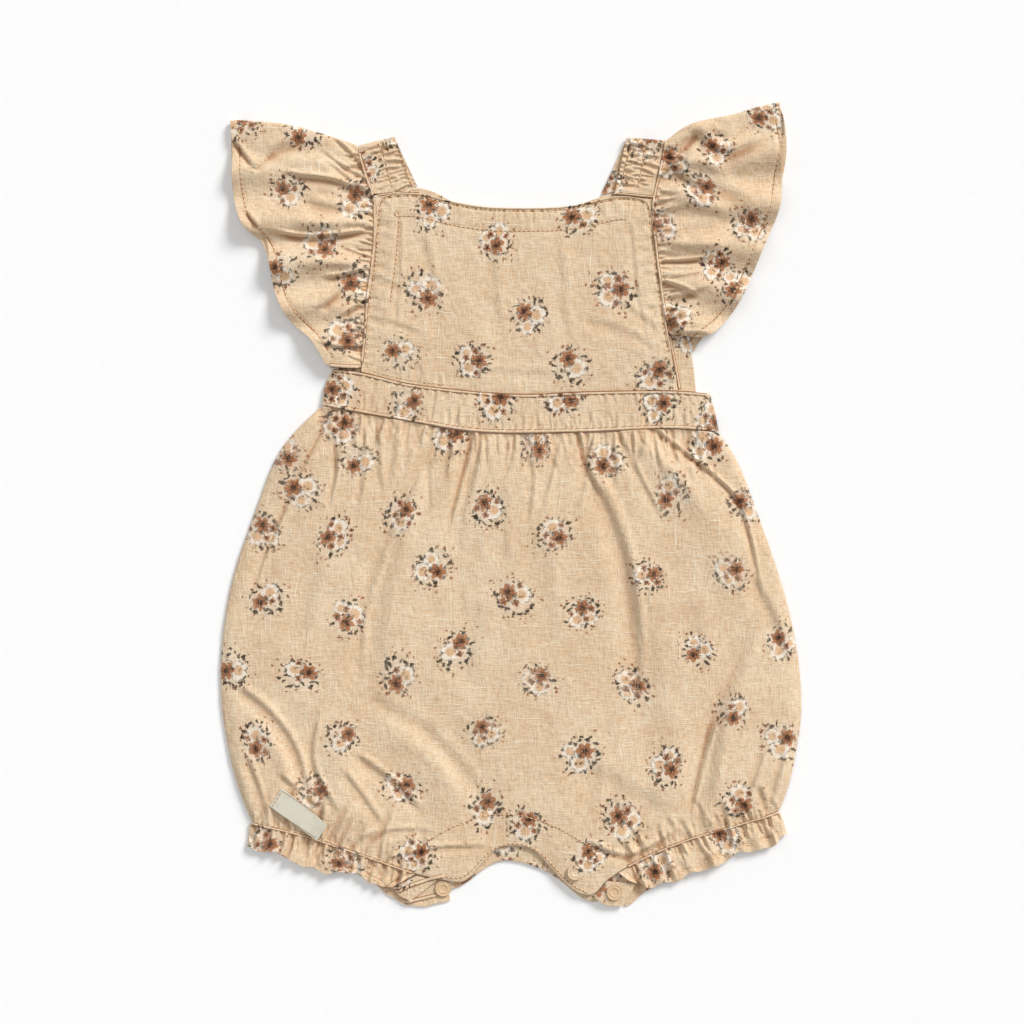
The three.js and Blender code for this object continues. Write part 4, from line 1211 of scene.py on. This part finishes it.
class ROMPER_OT_stitching(bpy.types.Operator):
    """Sew the rows of topstitching along the seams, hems and facings"""

    bl_idname = "romper.stitching"
    bl_label = "Topstitching"

    def execute(self, context):
        tree = top_of(cloth_pieces())
        sew("stitches_edges", [
            *ROWS["bib_front"],
            *ROWS["body_front"],
            inset(LINES["crotch"], 1.6),
            *[line for node in (*STRAP_LINES, "sleeve_left", "sleeve_right") for line in ROWS[node]],
        ], tree)
        sew("stitches_legs", [
            inset(LINES["arm_left"], -2.0),
            inset(LINES["arm_right"], 2.0),
            inset(LINES["foot_left"], 1.5),
            inset(LINES["foot_right"], 1.5),
            *ROWS["leg_ruffle_left"],
            *ROWS["leg_ruffle_right"],
        ], tree, rust_underneath=False)
        return {"FINISHED"}


class ROMPER_OT_snaps(bpy.types.Operator):
    """Finish the ring snaps of the crotch: a round cap with a raised ring and a shallow well"""

    bl_idname = "romper.snaps"
    bl_label = "Ring snaps"

    def execute(self, context):
        for node in ("snap_right", "snap_middle", "snap_back"):
            low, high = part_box(node)
            radius, height = (high.x - low.x) / 2, (high.z - low.z) * 0.8
            middle = ((low.x + high.x) / 2, (low.y + high.y) / 2, low.z + height / 2)
            bpy.ops.object.select_all(action="DESELECT")
            bpy.ops.mesh.primitive_cylinder_add(vertices=48, radius=radius, depth=height, location=middle)
            piece = context.object
            piece.name = "ring_" + node
            self.shape(piece, radius, height)
            bpy.ops.object.transform_apply(location=True, rotation=True, scale=True)
            bpy.ops.object.shade_smooth_by_angle(angle=math.radians(35))
            piece.data.materials.clear()
            covered = node == "snap_middle"
            piece.data.materials.append(material_of(printed_linen if covered else satin_enamel))
            if covered:
                lay_print(piece, "body_front")
            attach(piece, "root")
            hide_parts(node)
        return {"FINISHED"}

    def shape(self, piece, radius, height):
        """Insets the top face and lowers the well between the ring and the hub."""
        bpy.ops.object.mode_set(mode="EDIT")
        bpy.ops.mesh.select_all(action="DESELECT")
        bpy.ops.mesh.select_mode(type="FACE")
        bpy.ops.object.mode_set(mode="OBJECT")
        for polygon in piece.data.polygons:
            polygon.select = polygon.normal.z > 0.9
        bpy.ops.object.mode_set(mode="EDIT")
        steps = ((0.12, 0.0), (0.05, -0.2), (0.14, 0.0), (0.05, 0.16), (0.14, 0.0), (0.06, -0.35))
        for width, drop in steps:
            bpy.ops.mesh.inset(thickness=radius * width, depth=0)
            bpy.ops.transform.translate(value=(0, 0, height * drop))
        bpy.ops.object.mode_set(mode="OBJECT")
        finish_modifier(piece, "BEVEL", width=0.00012, segments=2, limit_method="ANGLE",
                        angle_limit=math.radians(30))


class ROMPER_OT_label(bpy.types.Operator):
    """Finish the bare woven label and the stitches that hold its end"""

    bl_idname = "romper.label"
    bl_label = "Label"

    def execute(self, context):
        piece = own_copy("label", "woven_label")
        hold_rims(piece, 0.9)
        finish_modifier(piece, "SUBSURF", levels=2, render_levels=2)
        alone(piece)
        bpy.ops.object.shade_smooth()
        piece.data.materials.clear()
        piece.data.materials.append(material_of(woven_tape))
        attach(piece, "root")
        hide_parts("label")
        tree = top_of([piece])
        low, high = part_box("label")
        left, upper = low.x / MM, high.y / MM
        end = np.array([(left + 1.6, upper - 10.2), (left + 7.2, upper - 1.8)])
        sew("stitches_label", [end], tree)
        # the dark thread woven in along both long edges
        across_way = (end[1] - end[0]) / np.hypot(*(end[1] - end[0]))
        long_way = np.array([across_way[1], -across_way[0]])
        flat = vertex_table(piece.data)[0][:, :2]
        along, aside = flat @ long_way, flat @ across_way
        borders = [
            laid_cord([long_way * reach + across_way * edge
                       for reach in (along.min() + 1.6, along.max() - 1.2)],
                      tree, 0.16, 0.08, 0.02, 5, 1.5)
            for edge in (aside.min() + 1.1, aside.max() - 1.1)
        ]
        new_piece("label_borders", *joined(borders), material_of(border_thread), "label_tape")
        return {"FINISHED"}


class ROMPER_OT_stage(bpy.types.Operator):
    """Set the white table, the soft lights and the camera that looks straight down"""

    bl_idname = "romper.stage"
    bl_label = "Stage"

    def execute(self, context):
        look = context.scene.romper_stage
        bpy.ops.object.select_all(action="DESELECT")
        bpy.ops.mesh.primitive_plane_add(size=40, location=(0, 0, -0.0002))
        table = context.object
        table.name = "table_top"
        bpy.ops.object.transform_apply(location=True)
        table.data.materials.append(material_of(lit_paper))
        self.light("key_light", (1.05, 1.2, 1.0), 22, look.key_strength)
        self.light("fill_light", (-0.6, 0.4, 1.8), 60, look.fill_strength)
        world = bpy.data.worlds.new("studio_air")
        world.use_nodes = True
        world.node_tree.nodes["Background"].inputs[0].default_value = (1, 1, 1, 1)
        world.node_tree.nodes["Background"].inputs[1].default_value = look.air_strength
        context.scene.world = world
        camera_data = bpy.data.cameras.new("camera")
        camera_data.lens = look.lens
        camera_data.sensor_width = 36
        camera_data.clip_start = 0.01
        camera = bpy.data.objects.new("camera", camera_data)
        context.scene.collection.objects.link(camera)
        camera.location = (*look.aim, look.view_width * look.lens / 36 + 0.003)
        context.scene.camera = camera
        context.scene.view_settings.view_transform = "Standard"
        return {"FINISHED"}

    def light(self, name, place, spread, strength):
        """A distant light from a place, as wide in degrees as its spread."""
        bpy.ops.object.light_add(type="SUN", location=place)
        lamp = bpy.context.object
        lamp.name = name
        lamp.data.angle = math.radians(spread)
        lamp.data.energy = strength
        lamp.rotation_euler = (-Vector(place)).to_track_quat("-Z", "Y").to_euler()


class ROMPER_PT_panel(bpy.types.Panel):
    bl_label = "Romper"
    bl_idname = "ROMPER_PT_panel"
    bl_space_type = "VIEW_3D"
    bl_region_type = "UI"
    bl_category = "Romper"

    def draw(self, context):
        for step in STEPS:
            self.layout.operator(step.bl_idname)


STEPS = (ROMPER_OT_cloth, ROMPER_OT_seams, ROMPER_OT_stitching, ROMPER_OT_snaps, ROMPER_OT_label,
         ROMPER_OT_stage)
SETTINGS = {"romper_cloth": RomperCloth, "romper_sewing": RomperSewing, "romper_stage": RomperStage}


def register():
    for group in SETTINGS.values():
        bpy.utils.register_class(group)
    for operator in (*STEPS, ROMPER_PT_panel):
        bpy.utils.register_class(operator)
    for name, group in SETTINGS.items():
        setattr(bpy.types.Scene, name, bpy.props.PointerProperty(type=group))


def unregister():
    for name in SETTINGS:
        delattr(bpy.types.Scene, name)
    for operator in (ROMPER_PT_panel, *reversed(STEPS), *reversed(SETTINGS.values())):
        bpy.utils.unregister_class(operator)


def main():
    register()
    for step in STEPS:
        group, name = step.bl_idname.split(".")
        getattr(getattr(bpy.ops, group), name)()


if __name__ == "__main__":
    main()
